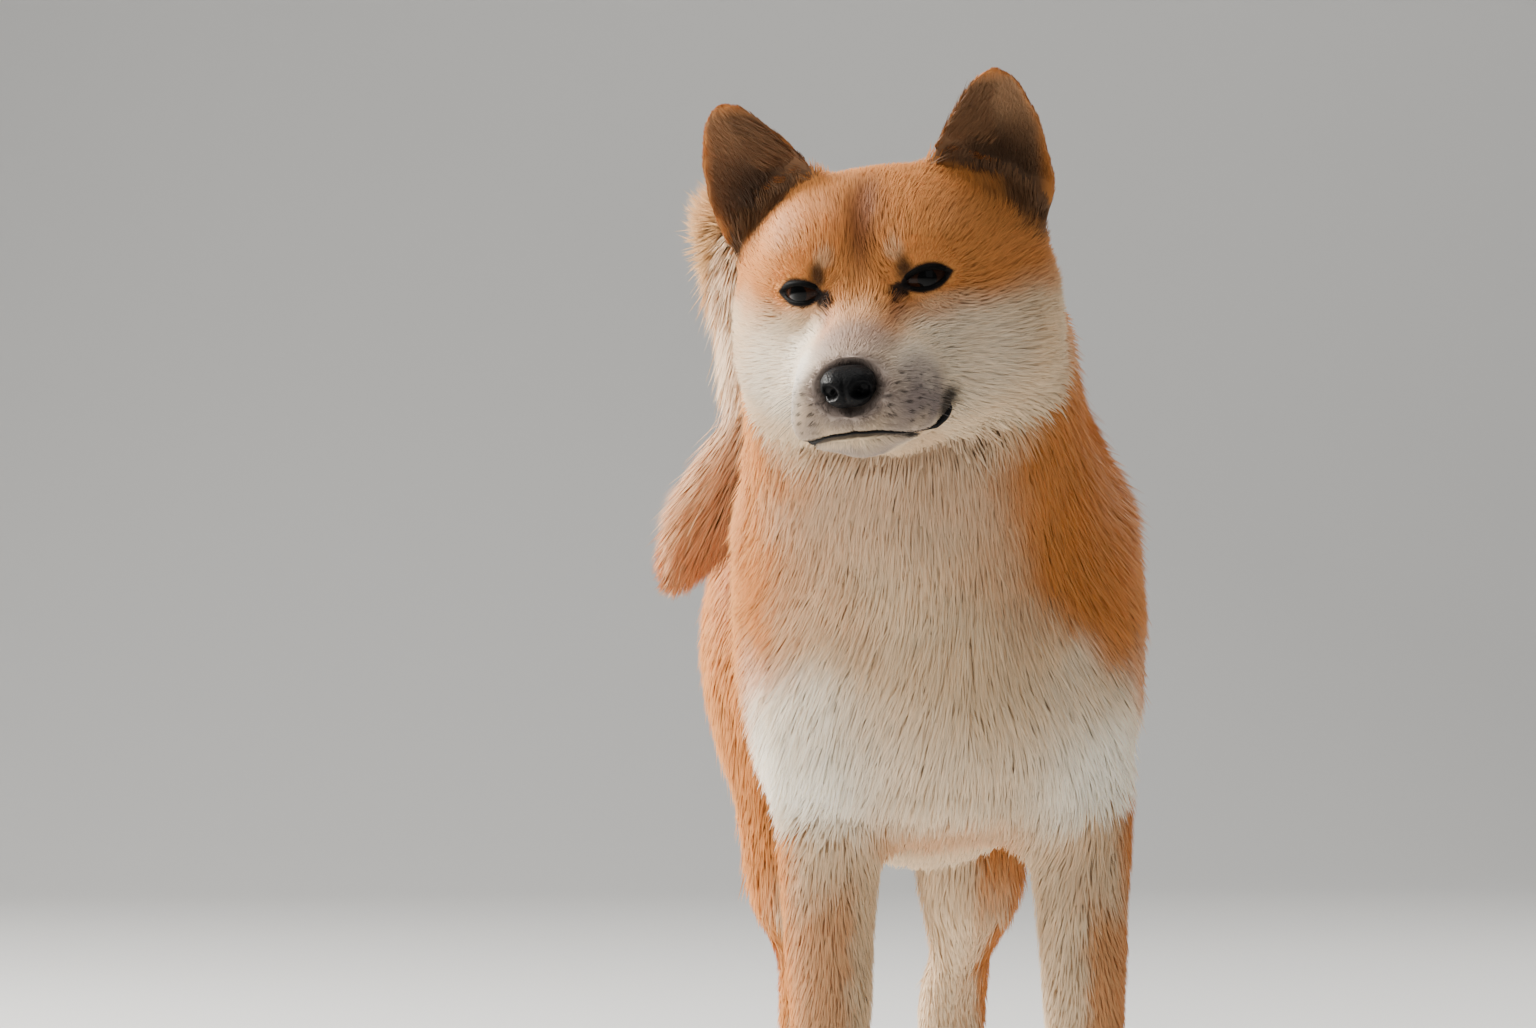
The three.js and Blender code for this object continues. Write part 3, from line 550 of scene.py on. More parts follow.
def coat_facts(points, normals, part):
    """Depth, lift, width and lie of the coat at each point."""
    q = in_head(points)
    b = in_body(points)
    x = np.abs(q[:, 0])
    n = len(points)
    depth, lift, width = np.full(n, 0.008), np.full(n, 20.0), np.full(n, 0.0012)

    near_eye = ramp(eye_nearness(points), 1.7, 0.15)
    muzzle = ramp(q[:, 1], -0.060, -0.086)
    cheek = ramp(q[:, 2], 0.008, -0.022) * ramp(x, 0.034, 0.058) * (1 - muzzle)
    back_of_head = ramp(q[:, 1], -0.005, 0.045)
    head_depth = 0.0034 + 0.0050 * cheek + 0.0040 * back_of_head - 0.0018 * muzzle
    head_depth = head_depth * (1 - 0.76 * near_eye)
    by_mouth = ramp(np.abs(q[:, 2] - mouth_height(q) - 0.0015), 0.0070, 0.0025)
    by_mouth = by_mouth * ramp(q[:, 1], -0.054, -0.066)
    by_nose = patch(q, (0, -0.1165, -0.0212), (0.0185, 0.018, 0.0155), 0.5)
    head_depth = head_depth * (1 - 0.62 * by_mouth) * (1 - 0.4 * by_nose)
    head_lift = 15 + 9 * cheek + 5 * back_of_head + 14 * near_eye + 12 * by_mouth + 6 * by_nose
    head_width = 0.00072 + 0.00022 * cheek + 0.00025 * back_of_head - 0.00014 * muzzle - 0.0002 * near_eye

    front = ramp(-normals[:, 1], 0.1, 0.7)
    thigh = ramp(b[:, 2], 0.13, 0.22)
    behind = ramp(normals[:, 1], 0.25, 0.75) * thigh
    shoulder = ramp(b[:, 2], 0.12, 0.22)
    low_chest = front * ramp(b[:, 2], 0.245, 0.215)
    flat = np.ones(n)
    tables = {
        0: (head_depth, head_lift, head_width),
        1: (0.0026 * flat, 20 * flat, 0.00066 * flat),
        2: (0.0010 + 0.0006 * ramp(np.abs(ear_share(q)), 0.8, 1.0), 11 * flat, 0.00055 * flat),
        3: (0.0090 * flat, 21 * flat, 0.00105 * flat),
        4: (0.0062 + 0.0012 * front, 17 + 2 * front + 8 * low_chest, 0.00120 - 0.00008 * front),
        5: (0.0024 + 0.0024 * shoulder, 13 + 2 * shoulder, 0.00108 + 0.0001 * shoulder),
        6: (0.0024 + 0.0034 * thigh + 0.0010 * behind, 13 + 4 * thigh, 0.00108 + 0.0001 * thigh),
        7: (0.0015 * flat, 14 * flat, 0.00078 * flat),
        8: (0.016 * flat, 27 * flat, 0.00105 * flat),
    }
    for i, (d, angle, w) in tables.items():
        here = part == i
        depth[here], lift[here], width[here] = d[here], angle[here], w[here]
    sole = (normals[:, 2] < -0.4) & (points[:, 2] < 0.012)
    depth[sole] = 0.0005

    lie = np.tile((0.0, 0.85, -0.50), (n, 1))
    from_nose = unit(q - np.array((0, -0.128, -0.018)))
    lie_head = from_nose + 0.25 * np.stack([0.3 * np.sign(q[:, 0]), 0.6 * flat, -0.3 * flat], axis=1)
    for side in (1, -1):
        from_eye = unit(q - EYE_IN_HEAD * (side, 1, 1))
        close = (near_eye * (np.sign(q[:, 0]) == side))[:, None]
        lie_head = lie_head + 1.8 * close * from_eye
    foot = np.interp(x, *np.array(EAR_FOOT).T)
    by_ear = ramp(q[:, 2] - foot, -0.012, -0.003) * ramp(x, 0.028, 0.036)
    by_ear = by_ear * ramp(q[:, 1], 0.030, 0.022) * ramp(q[:, 1], -0.036, -0.022)
    upwards = np.stack([0.25 * np.sign(q[:, 0]), 0.10 * flat, flat], axis=1)
    lie_head = unit(lie_head) * (1 - by_ear)[:, None] + upwards * by_ear[:, None]
    lie_head = unit(lie_head) @ HEAD_AXES.T
    lie[part == 0] = lie_head[part == 0]
    lie[part == 1] = lie_head[part == 1]
    ear_way = np.stack([0.30 * np.sign(q[:, 0]), -0.20 * flat, flat], axis=1) @ HEAD_AXES.T
    lie[part == 2] = ear_way[part == 2]
    lie[part == 3] = (0.0, 0.55, -0.84)
    inwards = np.stack([-0.9 * b[:, 0], 0.75 * flat, -0.62 * flat], axis=1)
    lie[part == 4] = inwards[part == 4]
    lie[part == 5] = (0.0, 0.12, -1.0)
    lie[part == 6] = (0.0, 0.22, -1.0)
    lie[part == 7] = (0.0, -0.75, -0.65)
    if (part == 8).any():
        here = part == 8
        share, way, reach, spot = tail_guide(points[here])
        lie[here] = way
        depth[here] = np.maximum(reach * (1 - TAIL_CORE_SHARE) * 1.04, 0.004)
    return depth, lift, width, lie


# The skin

class Skin:
    """The skin's mesh as arrays, for the coat to grow from."""

    def __init__(self, mesh):
        n = len(mesh.vertices)
        self.co = np.empty(n * 3)
        mesh.vertices.foreach_get("co", self.co)
        self.co = self.co.reshape(-1, 3)
        self.normal = np.empty(n * 3)
        mesh.vertices.foreach_get("normal", self.normal)
        self.normal = self.normal.reshape(-1, 3)
        mesh.calc_loop_triangles()
        t = len(mesh.loop_triangles)
        self.tris = np.empty(t * 3, int)
        mesh.loop_triangles.foreach_get("vertices", self.tris)
        self.tris = self.tris.reshape(-1, 3)
        self.tri_loops = np.empty(t * 3, int)
        mesh.loop_triangles.foreach_get("loops", self.tri_loops)
        self.tri_loops = self.tri_loops.reshape(-1, 3)
        self.edges = np.empty(len(mesh.edges) * 2, int)
        mesh.edges.foreach_get("vertices", self.edges)
        self.edges = self.edges.reshape(-1, 2)

    def areas(self):
        a, b, c = (self.co[self.tris[:, i]] for i in range(3))
        return np.linalg.norm(np.cross(b - a, c - a), axis=1) / 2


STATE = {}
# The thin ears are made a little thicker while the skin is formed, and are brought back with the coat's depth
EAR_SPREAD = 0.0008


def flesh_bmesh(names, spread):
    """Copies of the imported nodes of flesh, merged and each grown a little so that neighbours meet."""
    bm = bmesh.new()
    for name in names:
        part = bmesh.new()
        part.from_mesh(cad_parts[name].data)
        bmesh.ops.remove_doubles(part, verts=part.verts, dist=1e-6)
        part.normal_update()
        for v in part.verts:
            v.co += v.normal * (spread + EAR_SPREAD * name.startswith("ear"))
        mesh = mesh_from(part, "flesh_part")
        bm.from_mesh(mesh)
        bpy.data.meshes.remove(mesh)
    return bm


def nearest_parts(points):
    """The part whose surface is nearest to each point."""
    corners, faces, labels = [], [], []
    for name in FLESH:
        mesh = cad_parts[name].data
        start = len(corners)
        corners.extend(v.co[:] for v in mesh.vertices)
        for face in mesh.polygons:
            faces.append([start + i for i in face.vertices])
            labels.append(part_index(name))
    tree = BVHTree.FromPolygons(corners, faces)
    parts = np.zeros(len(points), int)
    for i, p in enumerate(points):
        parts[i] = labels[tree.find_nearest(Vector(p))[2]]
    share, way, reach, spot = tail_guide(points)
    from_line = np.linalg.norm(points - spot, axis=1)
    on_tail = from_line < reach * TAIL_CORE_SHARE * 1.35 + 0.001
    on_tail &= (in_body(points)[:, 2] > 0.30) & (share > 0.08)
    parts[on_tail & ~np.isin(parts, (0, 1, 2))] = PARTS.index("tail")
    return parts


def skin_mesh(sizes):
    """One closed skin round flesh, eyeballs and the tail's core, finer on the face and at the eyes."""
    bm = flesh_bmesh(FLESH + ["eye_left", "eye_right"], 0.0004)
    line = rounded_path(TAIL_LINE, 60)
    swept(bm, from_body(line[:, :3]), line[:, 3] * TAIL_CORE_SHARE, 12, up=(1, 0, 0))
    bmesh.ops.recalc_face_normals(bm, faces=bm.faces)
    mesh = remeshed(bm, "one_skin", sizes.skin_voxel)
    bm = bmesh.new()
    bm.from_mesh(mesh)
    bpy.data.meshes.remove(mesh)
    for _ in range(3):
        soften(bm, bm.verts)
    for closeness in (0, 1):
        q = in_head([v.co for v in bm.verts])
        if closeness:
            fine = (eye_nearness(from_head(q)) < 1.3) & (q[:, 1] < -0.03)
        else:
            fine = q[:, 1] < -0.034
        picked = {v for v, is_fine in zip(bm.verts, fine) if is_fine}
        edges = [e for e in bm.edges if e.verts[0] in picked and e.verts[1] in picked]
        bmesh.ops.subdivide_edges(bm, edges=edges, cuts=1, use_grid_fill=True)
        near = list({v for e in edges if e.is_valid for v in e.verts})
        soften(bm, near)
    bmesh.ops.triangulate(bm, faces=[f for f in bm.faces if len(f.verts) > 4])
    return mesh_from(bm, "skin")


CHEEK_CREASE = [
    (0.026, -0.069, 0.000), (0.034, -0.067, -0.009), (0.038, -0.066, -0.019), (0.0385, -0.065, -0.028),
    (0.035, -0.064, -0.040),
]


def folds(q):
    """How far the face's folds lie under its plain surface, in metres, at places in the head's frame."""
    folded = q * (1, 1, 1)
    folded[:, 0] = np.abs(folded[:, 0])
    crease = rounded_path(CHEEK_CREASE, 24)
    away = np.min(np.linalg.norm(folded[:, None, :] - crease[None], axis=2), axis=1)
    deep = 0.0018 * np.exp(-((away / 0.0080) ** 2))
    deep -= 0.0014 * pair(q, (0.021, -0.099, -0.031), (0.014, 0.020, 0.012), 1.2)
    deep += 0.0012 * pair(q, (0.021, -0.066, 0.000), (0.010, 0.012, 0.008), 1.2)
    deep -= 0.0016 * pair(q, (0.026, -0.050, 0.0235), (0.015, 0.012, 0.006), 1.2)
    deep += 0.0014 * patch(q, (0, -0.055, 0.028), (0.005, 0.030, 0.024), 1.4)
    under_nose = ramp(q[:, 1], -0.104, -0.108) * ramp(q[:, 2], -0.030, -0.034)
    deep += 0.0010 * np.exp(-((q[:, 0] / 0.0012) ** 2)) * under_nose
    slit = np.exp(-(((q[:, 2] - mouth_height(q)) / 0.0016) ** 2))
    deep += 0.0022 * slit * ramp(q[:, 1], -0.058, -0.066)
    return deep


def shrunk(mesh, parts, edges, amount):
    """Moves the skin in by the coat's depth, runs one part into the next, and adds the face's folds."""
    skin = Skin(mesh)
    depth, _, _, _ = coat_facts(skin.co, skin.normal, parts)
    depth = np.where(parts == PARTS.index("tail"), 0.0, depth)
    depth = np.where(parts == PARTS.index("ear"), 0.0009 + EAR_SPREAD, depth)
    depth = smoothed(depth, edges, 14)
    normal = unit(smoothed(skin.normal, edges, 6))
    moved = skin.co - normal * depth * amount
    # The ears run into the head without a hard corner
    ear = smoothed((parts == 2) * 1.0, edges, 5)[:, 0]
    root = ((ear > 0.04) & (ear < 0.96))[:, None]
    for _ in range(4):
        moved = np.where(root, smoothed(moved, edges, 4), moved)
    moved = smoothed(moved, edges, 2)
    # The long locks behind the thighs are left to the coat
    b = in_body(moved)
    breech = (parts == PARTS.index("hindleg")) & (b[:, 1] > 0.150) & (b[:, 2] > 0.13) & (b[:, 2] < 0.32)
    breech = breech[:, None]
    for _ in range(6):
        moved = np.where(breech, smoothed(moved, edges, 8), moved)
    # Neighbouring parts of the trunk run into each other
    joint = np.zeros(len(moved), bool)
    for part in ("neck", "torso", "foreleg", "hindleg"):
        share = smoothed((parts == PARTS.index(part)) * 1.0, edges, 26)[:, 0]
        joint |= (share > 0.12) & (share < 0.88)
    joint &= (in_head(moved)[:, 1] > -0.045) & (in_body(moved)[:, 2] > 0.13) & ~np.isin(parts, (2, 7, 8))
    for _ in range(5):
        moved = np.where(joint[:, None], smoothed(moved, edges, 8), moved)
    # The upper lips hang square over the lower jaw
    q = in_head(moved)
    face = (parts < 2) & (q[:, 1] < -0.03)
    hang = pair(q, (0.021, -0.083, -0.040), (0.012, 0.028, 0.0095), 1.2) * face
    drop = np.stack([0.0048 * np.sign(q[:, 0]), 0 * hang, -0.0032 + 0 * hang], axis=1)
    moved = moved + (drop * hang[:, None]) @ HEAD_AXES.T
    q = in_head(moved)
    moved[face] -= normal[face] * folds(q[face])[:, None]
    # The lids close round each eyeball, and the skin inside the opening lies behind it
    for side in (1, -1):
        centre, axis, across, upright = eye_basis(side)
        rel = moved - centre
        away = almond_nearness(rel @ across, rel @ upright, side)
        out = rel @ axis
        radius = np.linalg.norm(rel, axis=1)
        here = face & (out > 0) & (away < 1.0) & (radius < 0.020)
        lid = EYE_RADIUS + 0.0009
        target = np.where(away < 0, EYE_RADIUS - 0.0012, np.maximum(radius, lid * ramp(away, 1.4, 0.9)))
        moved[here] = (centre + unit(rel) * target[:, None])[here]
    mesh.vertices.foreach_set("co", moved.astype(np.float32).ravel())
    mesh.update()


def set_marks(mesh, marks, vary, tip):
    """Three colour attributes that the coat's materials read."""
    groups = {
        "marks_a": marks[:, 0:3],
        "marks_b": np.stack([marks[:, 3], vary, tip], axis=1),
        "marks_c": np.stack([marks[:, 4], marks[:, 5], np.zeros(len(vary))], axis=1),
    }
    for name, values in groups.items():
        attribute = mesh.color_attributes.new(name, "FLOAT_COLOR", "POINT")
        rgba = np.ones((len(values), 4), np.float32)
        rgba[:, :3] = values
        attribute.data.foreach_set("color", rgba.ravel())


# Materials

def new_material(name):
    material = bpy.data.materials.new(name)
    material.use_nodes = True
    tree = material.node_tree
    tree.nodes.clear()
    out = tree.nodes.new("ShaderNodeOutputMaterial")
    shader = tree.nodes.new("ShaderNodeBsdfPrincipled")
    tree.links.new(shader.outputs["BSDF"], out.inputs["Surface"])
    return material, tree, shader


def mix_colour(tree, factor, a, b):
    """A mix node; a and b are colours or sockets, factor is a number or a socket."""
    node = tree.nodes.new("ShaderNodeMix")
    node.data_type = "RGBA"
    for socket, value in ((node.inputs["Factor"], factor), (node.inputs[6], a), (node.inputs[7], b)):
        if isinstance(value, bpy.types.NodeSocket):
            tree.links.new(value, socket)
        else:
            socket.default_value = value if isinstance(value, (int, float)) else (*value, 1.0)
    return node.outputs[2]


def maths(tree, operation, a, b=None, clamp=False):
    node = tree.nodes.new("ShaderNodeMath")
    node.operation = operation
    node.use_clamp = clamp
    for socket, value in zip(node.inputs, (a, b)):
        if isinstance(value, bpy.types.NodeSocket):
            tree.links.new(value, socket)
        elif value is not None:
            socket.default_value = value
    return node.outputs[0]


def attribute_parts(tree, name):
    """The three channels of a colour attribute."""
    read = tree.nodes.new("ShaderNodeAttribute")
    read.attribute_name = name
    split = tree.nodes.new("ShaderNodeSeparateColor")
    tree.links.new(read.outputs["Color"], split.inputs["Color"])
    return [split.outputs[i] for i in range(3)]


def coat_colour_group():
    """The node group that turns the markings into the coat's colour, shared by skin and tufts."""
    group = bpy.data.node_groups.new("coat_colours", "ShaderNodeTree")
    for name in ("Red", "Rust", "Cream", "White", "Grey", "Dark", "Ear"):
        group.interface.new_socket(name, in_out="INPUT", socket_type="NodeSocketColor")
    group.interface.new_socket("Unevenness", in_out="INPUT", socket_type="NodeSocketFloat")
    group.interface.new_socket("Tip light", in_out="INPUT", socket_type="NodeSocketFloat")
    group.interface.new_socket("Color", in_out="OUTPUT", socket_type="NodeSocketColor")
    tree = group
    given = tree.nodes.new("NodeGroupInput").outputs
    result = tree.nodes.new("NodeGroupOutput")
    cream, rust, grey = attribute_parts(tree, "marks_a")
    dark, vary, tip = attribute_parts(tree, "marks_b")
    white, ear, _ = attribute_parts(tree, "marks_c")
    colour = mix_colour(tree, rust, given["Red"], given["Rust"])
    colour = mix_colour(tree, cream, colour, given["Cream"])
    colour = mix_colour(tree, white, colour, given["White"])
    colour = mix_colour(tree, grey, colour, given["Grey"])
    colour = mix_colour(tree, ear, colour, given["Ear"])
    # Each tuft is a little lighter or darker than the next, and its tip lighter than its root
    uneven = maths(tree, "MULTIPLY_ADD", vary, given["Unevenness"])
    uneven.node.inputs[2].default_value = 1.0
    lit = maths(tree, "MULTIPLY_ADD", tip, given["Tip light"])
    tree.links.new(uneven, lit.node.inputs[2])
    scale = tree.nodes.new("ShaderNodeVectorMath")
    scale.operation = "SCALE"
    tree.links.new(colour, scale.inputs[0])
    tree.links.new(lit, scale.inputs["Scale"])
    colour = mix_colour(tree, dark, scale.outputs[0], given["Dark"])
    tree.links.new(colour, result.inputs["Color"])
    return group


# How much lighter or darker one tuft is than the next, and how much lighter its tip is than its root
COAT_VARIETY = (0.40, 0.34)


def coat_material(name, group, colours, unevenness, tip_light, roughness):
    material, tree, shader = new_material(name)
    node = tree.nodes.new("ShaderNodeGroup")
    node.node_tree = group
    for key, value in colours.items():
        node.inputs[key].default_value = (*value, 1.0)
    node.inputs["Unevenness"].default_value = unevenness
    node.inputs["Tip light"].default_value = tip_light
    tree.links.new(node.outputs["Color"], shader.inputs["Base Color"])
    shader.inputs["Roughness"].default_value = roughness
    shader.inputs["Specular IOR Level"].default_value = 0.2
    return material


def leather_material(name, colour, cell, bump, roughness, shine):
    """Bare dark skin with a fine pebbled grain."""
    material, tree, shader = new_material(name)
    place = tree.nodes.new("ShaderNodeTexCoord")
    grain = tree.nodes.new("ShaderNodeTexVoronoi")
    grain.inputs["Scale"].default_value = 1 / cell
    tree.links.new(place.outputs["Object"], grain.inputs["Vector"])
    cloud = tree.nodes.new("ShaderNodeTexNoise")
    cloud.inputs["Scale"].default_value = 120
    tree.links.new(place.outputs["Object"], cloud.inputs["Vector"])
    rough = maths(tree, "MULTIPLY_ADD", cloud.outputs[0], 0.25)
    rough.node.inputs[2].default_value = roughness - 0.12
    tree.links.new(rough, shader.inputs["Roughness"])
    shader.inputs["Specular IOR Level"].default_value = shine
    lighter = tuple(min(1.0, c * 2.2 + 0.002) for c in colour)
    tree.links.new(mix_colour(tree, grain.outputs["Distance"], colour, lighter), shader.inputs["Base Color"])
    bumps = tree.nodes.new("ShaderNodeBump")
    bumps.inputs["Strength"].default_value = bump
    bumps.inputs["Distance"].default_value = cell * 0.3
    tree.links.new(grain.outputs["Distance"], bumps.inputs["Height"])
    tree.links.new(bumps.outputs["Normal"], shader.inputs["Normal"])
    return material


def eye_material():
    """Black pupil, dark brown iris with fine rays, and a darker rim, under a wet gloss."""
    material, tree, shader = new_material("eye_wet")
    across, around, _ = attribute_parts(tree, "iris")
    rays = tree.nodes.new("ShaderNodeTexNoise")
    rays.noise_dimensions = "2D"
    rays.inputs["Scale"].default_value = 1.0
    together = tree.nodes.new("ShaderNodeCombineXYZ")
    tree.links.new(maths(tree, "MULTIPLY", around, 60.0), together.inputs[0])
    tree.links.new(maths(tree, "MULTIPLY", across, 3.0), together.inputs[1])
    tree.links.new(together.outputs[0], rays.inputs["Vector"])
    brown = mix_colour(tree, rays.outputs[0], (0.010, 0.004, 0.002), (0.036, 0.013, 0.006))
    outer = tree.nodes.new("ShaderNodeMapRange")
    outer.interpolation_type = "SMOOTHSTEP"
    outer.inputs["From Min"].default_value = 0.46
    outer.inputs["From Max"].default_value = 0.56
    tree.links.new(across, outer.inputs["Value"])
    inner = tree.nodes.new("ShaderNodeMapRange")
    inner.interpolation_type = "SMOOTHSTEP"
    inner.inputs["From Min"].default_value = 0.20
    inner.inputs["From Max"].default_value = 0.25
    tree.links.new(across, inner.inputs["Value"])
    iris = mix_colour(tree, outer.outputs[0], brown, (0.020, 0.010, 0.007))
    seen = mix_colour(tree, inner.outputs[0], (0.002, 0.002, 0.002), iris)
    tree.links.new(seen, shader.inputs["Base Color"])
    shader.inputs["Roughness"].default_value = 0.04
    shader.inputs["IOR"].default_value = 1.36
    shader.inputs["Specular IOR Level"].default_value = 0.28
    return material


def claw_material():
    """Dark horn with fine paler streaks."""
    material, tree, shader = new_material("claw_horn")
    place = tree.nodes.new("ShaderNodeTexCoord")
    streak = tree.nodes.new("ShaderNodeTexNoise")
    streak.inputs["Scale"].default_value = 400
    tree.links.new(place.outputs["Object"], streak.inputs["Vector"])
    horn = mix_colour(tree, streak.outputs[0], (0.030, 0.022, 0.018), (0.085, 0.065, 0.050))
    tree.links.new(horn, shader.inputs["Base Color"])
    shader.inputs["Roughness"].default_value = 0.35
    return material


# The coat

def tuft_form():
    """One tuft of hair as a slim closed spike; (across, proud, along) for each corner, and its faces."""
    bm = bmesh.new()
    bmesh.ops.create_uvsphere(bm, u_segments=3, v_segments=2, radius=1)
    bmesh.ops.triangulate(bm, faces=bm.faces)
    bm.verts.ensure_lookup_table()
    form = np.array([v.co[:] for v in bm.verts])
    faces = np.array([[v.index for v in f.verts] for f in bm.faces])
    bm.free()
    ring = np.hypot(form[:, 0], form[:, 1])
    along = np.arccos(np.clip(-form[:, 2], -1, 1)) / math.pi
    along = np.where(ring > 1e-6, along * 0.84, along)
    swell = np.interp(along, (0, 0.4, 0.6, 1), (0, 1.0, 0.8, 0.0))
    turned = np.stack([form[:, 1], form[:, 0]], axis=1) / np.maximum(ring, 1e-9)[:, None]
    form = np.column_stack([turned * (swell * (ring > 1e-6))[:, None], along])
    return form, faces[:, ::-1]


def roots_on(skin, where, count, rng):
    """Evenly strewn roots on the chosen triangles: the triangle and the weights of its corners for each."""
    chosen = np.flatnonzero(where)
    middle = skin.co[skin.tris[chosen]].mean(axis=1)
    cell = np.floor(middle / 0.006).astype(int)
    order = np.lexsort((middle[:, 0], cell[:, 0], cell[:, 1], cell[:, 2]))
    chosen = chosen[order]
    reach = np.cumsum(STATE["areas"][chosen] * STATE["density"][chosen])
    marks = (np.arange(count) + rng.uniform(0, 1, count)) * reach[-1] / count
    tri = chosen[np.minimum(np.searchsorted(reach, marks), len(chosen) - 1)]
    a, b = rng.uniform(0, 1, (2, count))
    over = a + b > 1
    a[over], b[over] = 1 - a[over], 1 - b[over]
    return tri, np.stack([1 - a - b, a, b], axis=1)


def clumped(roots, tips, spacing, pull, rng):
    """Draws each tip towards the tip of the leading tuft nearest to its root."""
    count = max(int(len(roots) * min(1.0, spacing)), 1)
    leaders = rng.choice(len(roots), count, replace=False)
    tree = KDTree(count)
    for i, leader in enumerate(leaders):
        tree.insert(roots[leader], i)
    tree.balance()
    nearest = np.array([tree.find(p)[1] for p in roots])
    led = leaders[nearest]
    return tips + (tips[led] + 0.25 * (roots - roots[led]) - tips) * pull[:, None]


def over_skin(places, height):
    """The places moved to the given height over the nearest point of the skin, to follow its curve."""
    find = STATE["tree"].find_nearest
    found = [find(Vector(p)) for p in places]
    base = np.array([hit[0][:] for hit in found])
    normal = np.array([hit[1][:] for hit in found])
    return base + normal * height[:, None]


def coat_piece(name, where, count, seed, material, clump, stretch=1.0, change=None):
    """Grows one piece of coat from the chosen part of the skin."""
    skin = STATE["skin"]
    rng = np.random.default_rng(seed)
    tri, weights = roots_on(skin, where, count, rng)
    corners = skin.tris[tri]

    def at_roots(values):
        return np.einsum("nk,nk...->n...", weights, values[corners])

    root = at_roots(skin.co)
    normal = unit(at_roots(skin.normal))
    depth, lift, width, lie = (at_roots(fact) for fact in STATE["facts"])
    part = STATE["part"][corners[np.arange(count), weights.argmax(axis=1)]]
    q = in_head(root)
    bare = (eye_nearness(root) < 0.15) & (part == 0)
    bare |= patch(q, (0, -0.1165, -0.0212), (0.0130, 0.0120, 0.0102), 0.01) > 0.5
    lips = np.where(q[:, 1] > -0.090, 0.0024, 0.0011)
    bare |= (np.abs(q[:, 2] - mouth_height(q)) < lips) & (q[:, 1] < -0.064) & (part < 2)
    keep = ~bare
    root, normal, depth, lift, width, lie, part, tri, weights = (
        v[keep] for v in (root, normal, depth, lift, width, lie, part, tri, weights)
    )
    n = len(root)
    marks = np.zeros((n, 6))
    if change:
        depth, lift, width, lie, marks = change(root, depth, lift, width, marks)
    sway = ripple(root, 0.030, seed) * 0.14 + rng.normal(0, 0.11, n)
    lie = unit(lie - normal * np.sum(lie * normal, axis=1, keepdims=True))
    side = np.cross(normal, lie)
    lie = unit(lie + side * sway[:, None])
    side = np.cross(normal, lie)
    tall = depth * rng.uniform(0.70, 1.10, n) * (1 + 0.12 * ripple(root, 0.014, 1.0))
    run = depth / np.tan(np.radians(lift)) * rng.uniform(0.8, 1.2, n) * stretch
    long_haired = np.isin(part, (3, 4, 6, 8))
    tall = tall * np.where(long_haired & (rng.uniform(0, 1, n) < 0.07), 1.35, 1.0)
    if not change:
        # What is seen of a tuft is its outer half, so that is where its markings are read
        marks = markings(root + lie * (0.55 * run)[:, None], normal, part)
    straight = root + lie * run[:, None] + normal * tall[:, None]
    tip = over_skin(root + lie * run[:, None], tall)
    astray = np.linalg.norm(tip - straight, axis=1) > np.maximum(0.0022, 0.30 * run)
    astray &= part != PARTS.index("ear")
    tip = np.where((astray | (part == PARTS.index("tail")))[:, None], straight, tip)
    tip = clumped(root, tip, clump[0], np.full(n, clump[1]) * rng.uniform(0.5, 1.3, n), rng)

    form, faces = tuft_form()
    along = form[:, 2]
    rise = 1 - (1 - along) ** 1.7
    reach = tip - root
    up_part = np.maximum(np.sum(reach * normal, axis=1, keepdims=True), 0.15 * tall[:, None]) * normal
    flat_part = reach - np.sum(reach * normal, axis=1, keepdims=True) * normal
    bent = flat_part[:, None, :] * along[None, :, None] + up_part[:, None, :] * rise[None, :, None]
    bent = bent + (reach - flat_part - up_part)[:, None, :] * (along**3)[None, :, None]
    points = (
        root[:, None, :]
        - normal[:, None, :] * (0.0004 * (1 - along)[None, :])[:, :, None]
        + bent
        + side[:, None, :] * (form[:, 0][None, :] * width[:, None] * 0.58)[:, :, None]
        + normal[:, None, :] * (form[:, 1][None, :] * width[:, None] * 0.17)[:, :, None]
    )
    points[:, :, 2] = np.maximum(points[:, :, 2], 0.0002)
    corner_count = len(form)
    tris = (faces[None, :, :] + (np.arange(n) * corner_count)[:, None, None]).reshape(-1, 3)
    mesh = bpy.data.meshes.new(name)
    mesh.vertices.add(n * corner_count)
    mesh.vertices.foreach_set("co", points.astype(np.float32).ravel())
    mesh.loops.add(len(tris) * 3)
    mesh.loops.foreach_set("vertex_index", tris.astype(np.int32).ravel())
    mesh.polygons.add(len(tris))
    mesh.polygons.foreach_set("loop_start", np.arange(0, len(tris) * 3, 3, dtype=np.int32))
    mesh.polygons.foreach_set("use_smooth", np.zeros(len(tris), bool))
    mesh.update(calc_edges=True)

    # A small patch of the skin's own unwrap for each tuft
    uv_root = np.einsum("nk,nkj->nj", weights, STATE["uv"][skin.tri_loops[tri]])
    spread = 0.0015
    uv = uv_root[:, None, :] + np.stack([form[:, 0] * spread, (along - 0.5) * 2 * spread], axis=1)[None, :, :]
    layer = mesh.uv_layers.new(name="OFBake")
    layer.data.foreach_set("uv", uv.reshape(-1, 2)[tris.ravel()].astype(np.float32).ravel())

    vary = np.clip(rng.normal(0, 0.5, n) + 0.4 * ripple(root, 0.012, 4.0), -1.2, 1.2)
    repeat = lambda v: np.repeat(v, corner_count, axis=0)
    set_marks(mesh, repeat(marks), repeat(vary) * 0.5 + 0.5, np.tile(along, n))
    mesh.materials.append(material)
    return finished(linked(name, mesh))


# Sizes and colours that a user would change

